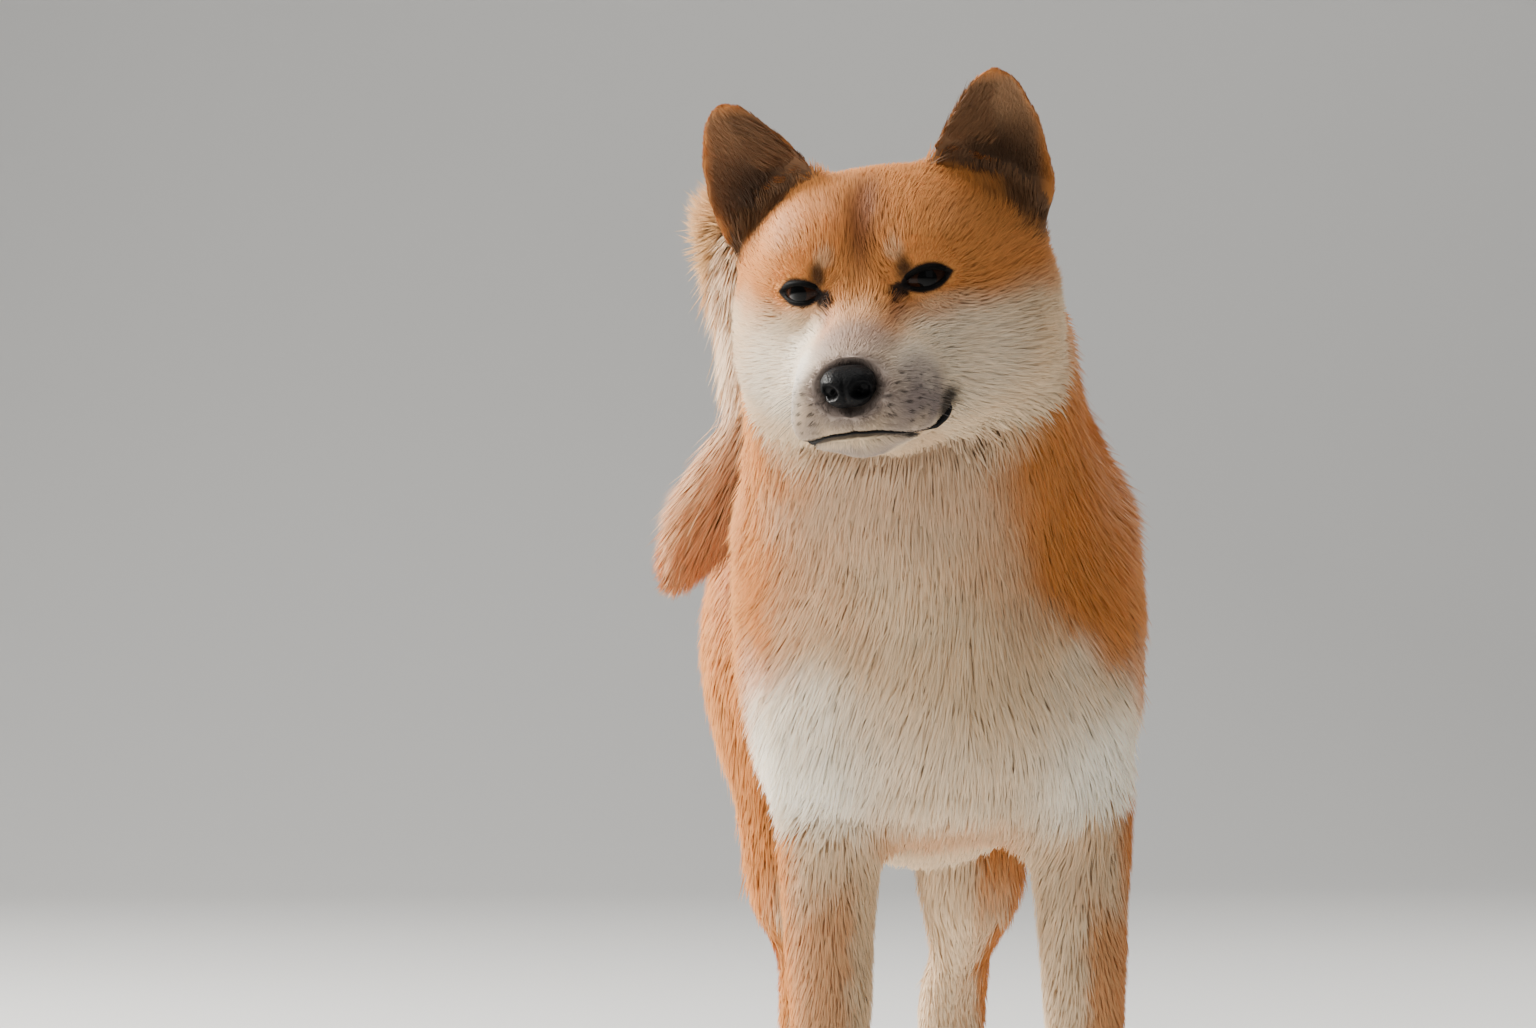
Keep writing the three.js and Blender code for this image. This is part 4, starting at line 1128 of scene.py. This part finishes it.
class ShibaSizes(bpy.types.PropertyGroup):
    skin_voxel: bpy.props.FloatProperty(
        name="Skin detail", description="Size of the skin's faces before the face is made finer",
        default=0.0031, unit="LENGTH", precision=4
    )
    coat_depth: bpy.props.FloatProperty(
        name="Coat depth", description="Share of the natural depth of the coat",
        default=1.0, subtype="FACTOR", min=0.5, max=1.2
    )
    cornea_stand: bpy.props.FloatProperty(
        name="Cornea", description="How far the clear front of each eye stands out",
        default=0.0007, unit="LENGTH", precision=4
    )
    rim_radius: bpy.props.FloatProperty(
        name="Lid margin", description="Half the thickness of the lids' dark margins",
        default=0.0010, unit="LENGTH", precision=4
    )
    lip_radius: bpy.props.FloatProperty(
        name="Lip", description="Half the thickness of the lips", default=0.0012, unit="LENGTH", precision=4
    )
    whisker_radius: bpy.props.FloatProperty(
        name="Whisker", description="Half the thickness of a whisker at its root",
        default=0.00013, unit="LENGTH", precision=5
    )


class ShibaColours(bpy.types.PropertyGroup):
    red: bpy.props.FloatVectorProperty(
        name="Red", description="The coat's main colour", default=(0.48, 0.19, 0.048), subtype="COLOR"
    )
    rust: bpy.props.FloatVectorProperty(
        name="Rust", description="Deeper red on the brow, back and ears",
        default=(0.25, 0.085, 0.024), subtype="COLOR"
    )
    # Cream also serves partly as painted backlight along the tail, and as painted backlight on the ears' rims
    cream: bpy.props.FloatVectorProperty(
        name="Cream", description="Cheeks, chest and insides of the legs",
        default=(0.60, 0.455, 0.295), subtype="COLOR"
    )
    # White also serves as painted backlight up the tail's column
    white: bpy.props.FloatVectorProperty(
        name="White", description="The palest places", default=(0.80, 0.765, 0.67), subtype="COLOR"
    )
    # Grey also serves as painted shade on the throat under the head, on the chin and on the left pad
    grey: bpy.props.FloatVectorProperty(
        name="Grey", description="The muzzle's top", default=(0.26, 0.205, 0.18), subtype="COLOR"
    )
    # Dark also serves as painted shade low in the ear cups and in the fur before the ears
    dark: bpy.props.FloatVectorProperty(
        name="Dark", description="Round the eyes and along the lips",
        default=(0.010, 0.007, 0.006), subtype="COLOR"
    )
    # Inside the ears: partly their own brown and partly painted shade in the cups
    ear: bpy.props.FloatVectorProperty(
        name="Ear", description="Inside the ears", default=(0.165, 0.090, 0.047), subtype="COLOR"
    )


def palette(context):
    colours = context.scene.shiba_colours
    names = ("red", "rust", "cream", "white", "grey", "dark", "ear")
    return {name.capitalize(): tuple(getattr(colours, name)) for name in names}


# Operators, one for each piece or group of like pieces

class SHIBA_OT_skin(bpy.types.Operator):
    """Make the one skin under the coat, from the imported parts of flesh"""

    bl_idname = "shiba.skin"
    bl_label = "Skin"

    def execute(self, context):
        sizes = context.scene.shiba_sizes
        mesh = skin_mesh(sizes)
        skin = Skin(mesh)
        parts = nearest_parts(skin.co)
        STATE["part"] = parts
        shrunk(mesh, parts, skin.edges, sizes.coat_depth)
        piece = linked("skin", mesh)
        mesh.polygons.foreach_set("use_smooth", np.ones(len(mesh.polygons), bool))
        context.view_layer.objects.active = piece
        piece.select_set(True)
        bpy.ops.object.mode_set(mode="EDIT")
        bpy.ops.mesh.select_all(action="SELECT")
        bpy.ops.uv.smart_project(angle_limit=math.radians(66), island_margin=0.001)
        bpy.ops.object.mode_set(mode="OBJECT")
        mesh = piece.data
        mesh.uv_layers[0].name = "OFBake"
        uv = np.empty(len(mesh.loops) * 2)
        mesh.uv_layers[0].data.foreach_get("uv", uv)
        skin = Skin(mesh)
        facts = list(coat_facts(skin.co, skin.normal, parts))
        for i, rounds in enumerate((18, 18, 18, 30)):
            facts[i] = smoothed(facts[i], skin.edges, rounds)
            facts[i] = facts[i] if facts[i].shape[1] == 3 else facts[i][:, 0]
        STATE.update(skin=skin, uv=uv.reshape(-1, 2), facts=facts, areas=skin.areas())
        STATE["tri_part"] = parts[skin.tris[:, 0]]
        STATE["density"] = np.ones(len(skin.tris))
        marks = markings(skin.co, skin.normal, parts)
        set_marks(mesh, marks, np.full(len(parts), 0.8), np.full(len(parts), 0.5))
        STATE["group"] = coat_colour_group()
        under_coat = coat_material("skin_under_coat", STATE["group"], palette(context), *COAT_VARIETY, 0.85)
        mesh.materials.append(under_coat)
        finished(piece, FLESH + TAIL)
        corners, faces = [v.co[:] for v in mesh.vertices], [p.vertices[:] for p in mesh.polygons]
        STATE["tree"] = BVHTree.FromPolygons(corners, faces)
        return {"FINISHED"}


class SHIBA_OT_coat(bpy.types.Operator):
    """Grow the coat over the skin, in pieces that follow the parts of the body"""

    bl_idname = "shiba.coat"
    bl_label = "Coat"

    def execute(self, context):
        skin, part = STATE["skin"], STATE["tri_part"]
        coat = coat_material("coat_hair", STATE["group"], palette(context), *COAT_VARIETY, 0.60)
        middle = skin.co[skin.tris].mean(axis=1)
        q, b = in_head(middle), in_body(middle)
        left, head_left = b[:, 0] > 0, q[:, 0] > 0
        head = (part == 0) | (part == 1)
        face = head & (q[:, 1] < -0.040)
        hidden = head & (q[:, 1] > 0.050) & (q[:, 2] < 0.0)
        STATE["density"][head & (q[:, 1] < -0.078)] = 1.9
        STATE["density"][hidden] = 0.4
        sides = (("left", left, head_left), ("right", ~left, ~head_left))
        plans = []
        for name, half, head_half in sides:
            plans += [
                ("coat_face_" + name, face & head_half, 19500, "red_coat", (0.10, 0.20), 1.0, None),
                ("coat_cheek_" + name, head & ~face & head_half, 15500, "cream_coat", (0.06, 0.15), 1.0, None),
                ("coat_ear_" + name, (part == 2) & head_half, 8500, "ear_coat", (0.10, 0.20), 1.0, None),
                (
                    "coat_ear_fringe_" + name, self.cup_edge(skin, part, q) & head_half,
                    700, "ear_coat", (0.10, 0.3), 1.0, fringe,
                ),
                ("coat_neck_" + name, (part == 3) & half, 15500, "cream_coat", (0.05, 0.16), 1.0, None),
                ("coat_torso_" + name, (part == 4) & half, 28000, "red_coat", (0.05, 0.13), 1.0, None),
                ("coat_foreleg_" + name, (part == 5) & half, 9000, "red_coat", (0.08, 0.12), 1.0, None),
                ("coat_hindleg_" + name, (part == 6) & half, 12500, "red_coat", (0.06, 0.13), 1.0, None),
            ]
        plans += [
            ("coat_paws", part == 7, 8000, "cream_coat", (0.12, 0.15), 1.0, None),
            ("coat_tail", part == 8, 24000, "red_coat", (0.04, 0.34), 1.2, None),
        ]
        for i, (name, where, count, slot, clump, stretch, change) in enumerate(plans):
            coat_piece(name, where, count, SEED + i, coat, clump, stretch, change)
        return {"FINISHED"}

    @staticmethod
    def cup_edge(skin, part, q):
        """The strip of each ear's cup beside its inner edge, where longer, finer hair grows."""
        turned = skin.normal[skin.tris[:, 0]] @ HEAD_AXES
        facing = turned @ np.array((0.0, -0.92, -0.40)) > 0.1
        return (part == 2) & facing & (ear_share(q) < -0.10) & (q[:, 2] < 0.078)


def fringe(root, depth, lift, width, marks):
    """Makes the tufts at the cup's inner edge long and fine, reaching across it."""
    side = np.sign(in_head(root)[:, :1])
    way = np.concatenate([0.75 * side, -0.25 + 0 * side, 0.70 + 0 * side], axis=1) @ HEAD_AXES.T
    marks = marks + np.array((0.10, 0.10, 0.0, 0.20, 0.0, 0.90))
    return depth * 0 + 0.0032, lift * 0 + 15, width * 0 + 0.00042, way, marks


class SHIBA_OT_eyes(bpy.types.Operator):
    """Make both eyes with their corneas, and the dark margins of the lids"""

    bl_idname = "shiba.eyes"
    bl_label = "Eyes and lids"

    def execute(self, context):
        sizes = context.scene.shiba_sizes
        gloss = eye_material()
        margin = leather_material("lid_margin", (0.0018, 0.0016, 0.0015), 0.0006, 0.3, 0.70, 0.08)
        for side, name in ((1, "left"), (-1, "right")):
            centre, axis, across, upright = eye_basis(side)
            bm = bmesh.new()
            bmesh.ops.create_uvsphere(bm, u_segments=48, v_segments=32, radius=EYE_RADIUS)
            cornea = math.radians(36)
            turns, arounds = [], []
            for v in bm.verts:
                away = v.co.angle(Vector((0, 0, 1)))
                turns.append(away / (math.pi / 2))
                arounds.append(math.atan2(v.co.y, v.co.x) / (2 * math.pi) + 0.5)
                if away < cornea:
                    v.co *= 1 + sizes.cornea_stand / EYE_RADIUS * (1 - (away / cornea) ** 2) ** 2
            turn = Vector((0, 0, 1)).rotation_difference(Vector(axis)).to_matrix().to_4x4()
            bmesh.ops.transform(bm, verts=bm.verts, matrix=Matrix.Translation(centre) @ turn)
            for f in bm.faces:
                f.smooth = True
            mesh = mesh_from(bm, "eye_ball_" + name)
            attribute = mesh.color_attributes.new("iris", "FLOAT_COLOR", "POINT")
            values = np.ones((len(turns), 4), np.float32)
            values[:, 0], values[:, 1] = turns, arounds
            attribute.data.foreach_set("color", values.ravel())
            mesh.materials.append(gloss)
            finished(linked("eye_ball_" + name, mesh), ["eye_" + name])

            outline = almond(side)
            height = outline @ np.array((-math.sin(LID_TILT) * side, math.cos(LID_TILT))) / EYE_HALF_HEIGHT
            thickness = sizes.rim_radius * (0.85 + 0.40 * ramp(height, 0.0, 0.6))
            ring = [self.on_ball(centre, axis, across, upright, p, 0.0004) for p in outline]
            bm = bmesh.new()
            swept(bm, ring + ring[:2], [*thickness, *thickness[:2]], 8, up=axis)
            for f in bm.faces:
                f.smooth = True
            bmesh.ops.recalc_face_normals(bm, faces=bm.faces)
            mesh = mesh_from(bm, "lid_margin_" + name)
            mesh.materials.append(margin)
            finished(linked("lid_margin_" + name, mesh))
        return {"FINISHED"}

    @staticmethod
    def on_ball(centre, axis, across, upright, place, proud):
        """The point over the eyeball at a place round its axis."""
        a, b = place
        out = math.sqrt(max(EYE_RADIUS**2 - a * a - b * b, 0.0))
        return centre + unit(across * a + upright * b + axis * out) * (EYE_RADIUS + proud)


class SHIBA_OT_nose(bpy.types.Operator):
    """Make the nose with its nostrils and middle groove"""

    bl_idname = "shiba.nose"
    bl_label = "Nose"

    def execute(self, context):
        bm = flesh_bmesh(["nose"], 0.0)
        mesh = remeshed(bm, "nose_skin", 0.0007)
        bm = bmesh.new()
        bm.from_mesh(mesh)
        bpy.data.meshes.remove(mesh)
        for _ in range(8):
            soften(bm, bm.verts)
        q = in_head([v.co for v in bm.verts])
        middle = np.array((0, -0.110, -0.0212))
        q = middle + (q - middle) * (0.80, 0.97, 0.80)
        q[:, 0] *= 1 + 13 * (q[:, 2] - middle[2])
        front = ramp(q[:, 1], -0.112, -0.117)
        inward = 0.0008 * np.exp(-((q[:, 0] / 0.0007) ** 2)) * ramp(q[:, 2], -0.016, -0.021) * front
        for side in (1, -1):
            hole = patch(q, (0.0066 * side, -0.1225, -0.0218), (0.0036, 0.0060, 0.0030), 0.9)
            slit = patch(q, (0.0098 * side, -0.1190, -0.0240), (0.0044, 0.0080, 0.0012), 0.9)
            inward = inward + (0.0046 * hole + 0.0024 * slit) * ramp(q[:, 1], -0.108, -0.114)
        q[:, 1] += inward
        for v, place in zip(bm.verts, from_head(q)):
            v.co = place
        soften(bm, bm.verts, 0.4)
        for f in bm.faces:
            f.smooth = True
        mesh = mesh_from(bm, "nose_leather")
        leather = leather_material("nose_grain", (0.0018, 0.0019, 0.0022), 0.0010, 0.6, 0.45, 0.10)
        mesh.materials.append(leather)
        finished(linked("nose_leather", mesh), ["nose"])
        return {"FINISHED"}


class SHIBA_OT_lips(bpy.types.Operator):
    """Make the dark lips along the line of the mouth, on the skin"""

    bl_idname = "shiba.lips"
    bl_label = "Lips"

    def execute(self, context):
        sizes = context.scene.shiba_sizes
        dark = leather_material("lip_skin", (0.0025, 0.0022, 0.0022), 0.0008, 0.4, 0.6, 0.12)
        half = np.array(MOUTH_LINE[:-1])
        whole = rounded_path(np.vstack([half[:0:-1] * (-1, 1, 1), half]), 61)
        for name, over, reach in (("upper", 0.0007, 1.0), ("lower", -0.0008, 0.96)):
            line = whole[1:-1] if reach < 1 else whole
            raised = over - 0.03 * np.clip(line[:, 0], -0.02, 0.02)
            line = line + np.column_stack([0 * line[:, 0], 0 * line[:, 0], raised])
            path = []
            for place in from_head(line):
                spot, way, _, _ = STATE["tree"].find_nearest(Vector(place))
                if spot is None:
                    raise RuntimeError(f"the {name} lip finds no skin")
                path.append(np.array(spot) + np.array(way) * 0.0003)
            path = smooth_path(path, 4)
            nearest = [STATE["tree"].find_nearest(Vector(place)) for place in path]
            path = smooth_path([np.array(spot) + 0.0008 * np.array(way) for spot, way, _, _ in nearest], 1)
            share = np.abs(np.linspace(-1, 1, len(path)))
            # Fuller towards the corners, and gone at the very ends
            taper = sizes.lip_radius * (0.50 + 1.35 * ramp(share, 0.40, 0.78)) * ramp(share, 1.03, 0.93)
            bm = bmesh.new()
            swept(bm, path, np.maximum(taper, 0.0002), 10)
            bmesh.ops.recalc_face_normals(bm, faces=bm.faces)
            for f in bm.faces:
                f.smooth = True
            mesh = mesh_from(bm, "lip_" + name)
            mesh.materials.append(dark)
            finished(linked("lip_" + name, mesh))
        return {"FINISHED"}


PAWS = [
    ("foreleft", (0.063, -0.178), 1.0),
    ("foreright", (-0.052, -0.178), 1.0),
    ("hindleft", (0.046, 0.160), 0.93),
    ("hindright", (-0.023, 0.160), 0.93),
]
TOE_SPREAD = (-0.016, -0.006, 0.006, 0.016)
TOE_LEAD = (0.004, -0.005, -0.005, 0.004)


class SHIBA_OT_claws(bpy.types.Operator):
    """Make the claws of all four feet, one bent horn for each toe"""

    bl_idname = "shiba.claws"
    bl_label = "Claws"

    def execute(self, context):
        bm = bmesh.new()
        for _, (x, y), size in PAWS:
            for spread, lead in zip(TOE_SPREAD, TOE_LEAD):
                tip = from_body((x + spread * size, y + (lead - 0.013) * size, 0.008 * size))
                path = [
                    tip + np.array((0, 0.001, 0.0035)) * size,
                    tip + np.array((0, -0.004, 0.0030)) * size,
                    tip + np.array((0, -0.0085, 0.0008)) * size,
                    tip + np.array((0, -0.0115, -0.0030)) * size,
                ]
                radii = [0.0024 * size, 0.0022 * size, 0.0015 * size, 0.0004 * size]
                smooth = rounded_path(np.column_stack([path, radii]), 7)
                swept(bm, smooth[:, :3], smooth[:, 3], 8, squash=1.15)
        bmesh.ops.recalc_face_normals(bm, faces=bm.faces)
        for f in bm.faces:
            f.smooth = True
        mesh = mesh_from(bm, "claws")
        mesh.materials.append(claw_material())
        finished(linked("claws", mesh))
        return {"FINISHED"}


class SHIBA_OT_whiskers(bpy.types.Operator):
    """Make the whiskers on both sides of the muzzle"""

    bl_idname = "shiba.whiskers"
    bl_label = "Whiskers"

    def execute(self, context):
        sizes = context.scene.shiba_sizes
        rng = np.random.default_rng(SEED + 90)
        bm = bmesh.new()
        for side in (1, -1):
            for row in range(3):
                for place in range(3):
                    along = -0.106 + 0.010 * place + 0.003 * row
                    outside = from_head((0.06 * side, along, -0.026 - 0.0055 * row))
                    hit = STATE["tree"].ray_cast(Vector(outside), Vector(-HEAD_AXES[:, 0] * side), 0.08)[0]
                    if hit is None:
                        continue
                    backward = 0.55 + 0.2 * rng.uniform()
                    way = unit(HEAD_AXES @ np.array((side * 0.9, backward, -0.35 - 0.1 * row)))
                    sag = HEAD_AXES @ np.array((0, 0.3, -0.7))
                    long = rng.uniform(0.018, 0.034)
                    steps = np.linspace(0, 1, 7)
                    path = [np.array(hit) + way * long * t + sag * 0.25 * long * t * t for t in steps]
                    swept(bm, path, [sizes.whisker_radius * (1.05 - t) for t in steps], 4)
        bmesh.ops.recalc_face_normals(bm, faces=bm.faces)
        mesh = mesh_from(bm, "whiskers")
        material, tree, shader = new_material("whisker_hair")
        tone = tree.nodes.new("ShaderNodeTexNoise")
        tone.inputs["Scale"].default_value = 90
        place = tree.nodes.new("ShaderNodeTexCoord")
        tree.links.new(place.outputs["Object"], tone.inputs["Vector"])
        hair = mix_colour(tree, tone.outputs[0], (0.02, 0.015, 0.012), (0.10, 0.07, 0.05))
        tree.links.new(hair, shader.inputs["Base Color"])
        shader.inputs["Roughness"].default_value = 0.4
        mesh.materials.append(material)
        finished(linked("whiskers", mesh))
        return {"FINISHED"}


# The studio and the camera of the photograph, in the dog's own frame

CAMERA_AZIMUTH = math.radians(-6.0)
CAMERA_DISTANCE = 3.0
CAMERA_LATERAL = 0.086
CAMERA_HEIGHT = 0.380
CHEST_PLACE = np.array((0.0, -0.200))
FOCAL_PIXELS = 6810.0
PICTURE_WIDTH, PICTURE_HEIGHT = 1536, 1028
HORIZON_PIXEL = 471.0
SENSOR = 36.0


class SHIBA_OT_stage(bpy.types.Operator):
    """Set up the pale floor, the soft lights and the camera"""

    bl_idname = "shiba.stage"
    bl_label = "Studio"

    def execute(self, context):
        scene = context.scene
        bm = bmesh.new()
        profile = [(-4.0, 0.0), (3.0, 0.0)]
        profile += [(3.0 + 1.2 * math.sin(a), 1.2 - 1.2 * math.cos(a)) for a in np.linspace(0.1, math.pi / 2, 12)]
        profile.append((4.2, 5.0))
        ring = [bm.verts.new((-6.0, y, z)) for y, z in profile]
        edges = [bm.edges.new(pair_) for pair_ in zip(ring, ring[1:])]
        grown = bmesh.ops.extrude_edge_only(bm, edges=edges)["geom"]
        bmesh.ops.translate(bm, verts=[v for v in grown if isinstance(v, bmesh.types.BMVert)], vec=(12, 0, 0))
        bmesh.ops.recalc_face_normals(bm, faces=bm.faces)
        for f in bm.faces:
            f.smooth = True
            if f.normal.z < -0.1:
                f.normal_flip()
        sweep = linked("studio_sweep", mesh_from(bm, "studio_sweep"))
        material, tree, shader = new_material("studio_paper")
        cloud = tree.nodes.new("ShaderNodeTexNoise")
        cloud.inputs["Scale"].default_value = 1.5
        place = tree.nodes.new("ShaderNodeTexCoord")
        tree.links.new(place.outputs["Object"], cloud.inputs["Vector"])
        wall = mix_colour(tree, cloud.outputs[0], (0.70, 0.70, 0.69), (0.74, 0.74, 0.73))
        tree.links.new(wall, shader.inputs["Base Color"])
        shader.inputs["Roughness"].default_value = 0.9
        sweep.data.materials.append(material)

        middle = Vector(from_body((-0.02, -0.05, 0.32)))
        for name, place, size, power, tint in (
            ("key", (-2.5, -1.1, 2.2), 1.3, 50, (1.0, 0.97, 0.93)),
            ("fill", (1.2, -2.7, 1.4), 2.2, 5, (0.94, 0.97, 1.0)),
            ("rim_left", (-1.9, 1.0, 1.7), 1.0, 190, (1.0, 0.97, 0.92)),
            ("top", (0.3, -0.2, 2.8), 1.5, 26, (1.0, 0.98, 0.95)),
            ("rim_right", (1.6, 1.7, 1.8), 1.0, 30, (1.0, 0.98, 0.94)),
        ):
            lamp = bpy.data.lights.new(name, "AREA")
            lamp.size, lamp.energy, lamp.color = size, power, tint
            light = bpy.data.objects.new(name, lamp)
            light.location = place
            light.rotation_euler = (middle - Vector(place)).to_track_quat("-Z", "Y").to_euler()
            scene.collection.objects.link(light)
        world = bpy.data.worlds.new("studio_air")
        world.use_nodes = True
        world.node_tree.nodes["Background"].inputs["Color"].default_value = (0.92, 0.95, 1.0, 1)
        world.node_tree.nodes["Background"].inputs["Strength"].default_value = 0.13
        scene.world = world

        ahead = np.array((-math.sin(CAMERA_AZIMUTH), math.cos(CAMERA_AZIMUTH)))
        right = np.array((math.cos(CAMERA_AZIMUTH), math.sin(CAMERA_AZIMUTH)))
        ground = CHEST_PLACE - CAMERA_DISTANCE * ahead - CAMERA_LATERAL * right
        pitch = math.atan((PICTURE_HEIGHT / 2 - HORIZON_PIXEL) / FOCAL_PIXELS)
        lens = bpy.data.cameras.new("photograph_camera")
        lens.sensor_width = SENSOR
        lens.lens = FOCAL_PIXELS * SENSOR / PICTURE_WIDTH
        lens.clip_start = 0.05
        camera = bpy.data.objects.new("photograph_camera", lens)
        camera.location = from_body((*ground, CAMERA_HEIGHT))
        camera.rotation_euler = (math.pi / 2 - pitch, 0, CAMERA_AZIMUTH)
        scene.collection.objects.link(camera)
        scene.camera = camera
        return {"FINISHED"}


class SHIBA_PT_panel(bpy.types.Panel):
    """The model's pieces, in the order in which they are made"""

    bl_idname = "SHIBA_PT_panel"
    bl_label = "Shiba inu"
    bl_space_type = "VIEW_3D"
    bl_region_type = "UI"
    bl_category = "Shiba"

    def draw(self, context):
        for operator in OPERATORS:
            self.layout.operator(operator.bl_idname)
        for group in (context.scene.shiba_sizes, context.scene.shiba_colours):
            for name in group.bl_rna.properties.keys():
                if name not in ("rna_type", "name"):
                    self.layout.prop(group, name)


OPERATORS = (
    SHIBA_OT_skin,
    SHIBA_OT_coat,
    SHIBA_OT_eyes,
    SHIBA_OT_nose,
    SHIBA_OT_lips,
    SHIBA_OT_claws,
    SHIBA_OT_whiskers,
    SHIBA_OT_stage,
)
CLASSES = (ShibaSizes, ShibaColours, *OPERATORS, SHIBA_PT_panel)


def register():
    for cls in CLASSES:
        bpy.utils.register_class(cls)
    bpy.types.Scene.shiba_sizes = bpy.props.PointerProperty(type=ShibaSizes)
    bpy.types.Scene.shiba_colours = bpy.props.PointerProperty(type=ShibaColours)


def unregister():
    del bpy.types.Scene.shiba_colours
    del bpy.types.Scene.shiba_sizes
    for cls in reversed(CLASSES):
        bpy.utils.unregister_class(cls)


def main():
    register()
    for operator in OPERATORS:
        group, name = operator.bl_idname.split(".")
        getattr(getattr(bpy.ops, group), name)()


if __name__ == "__main__":
    main()
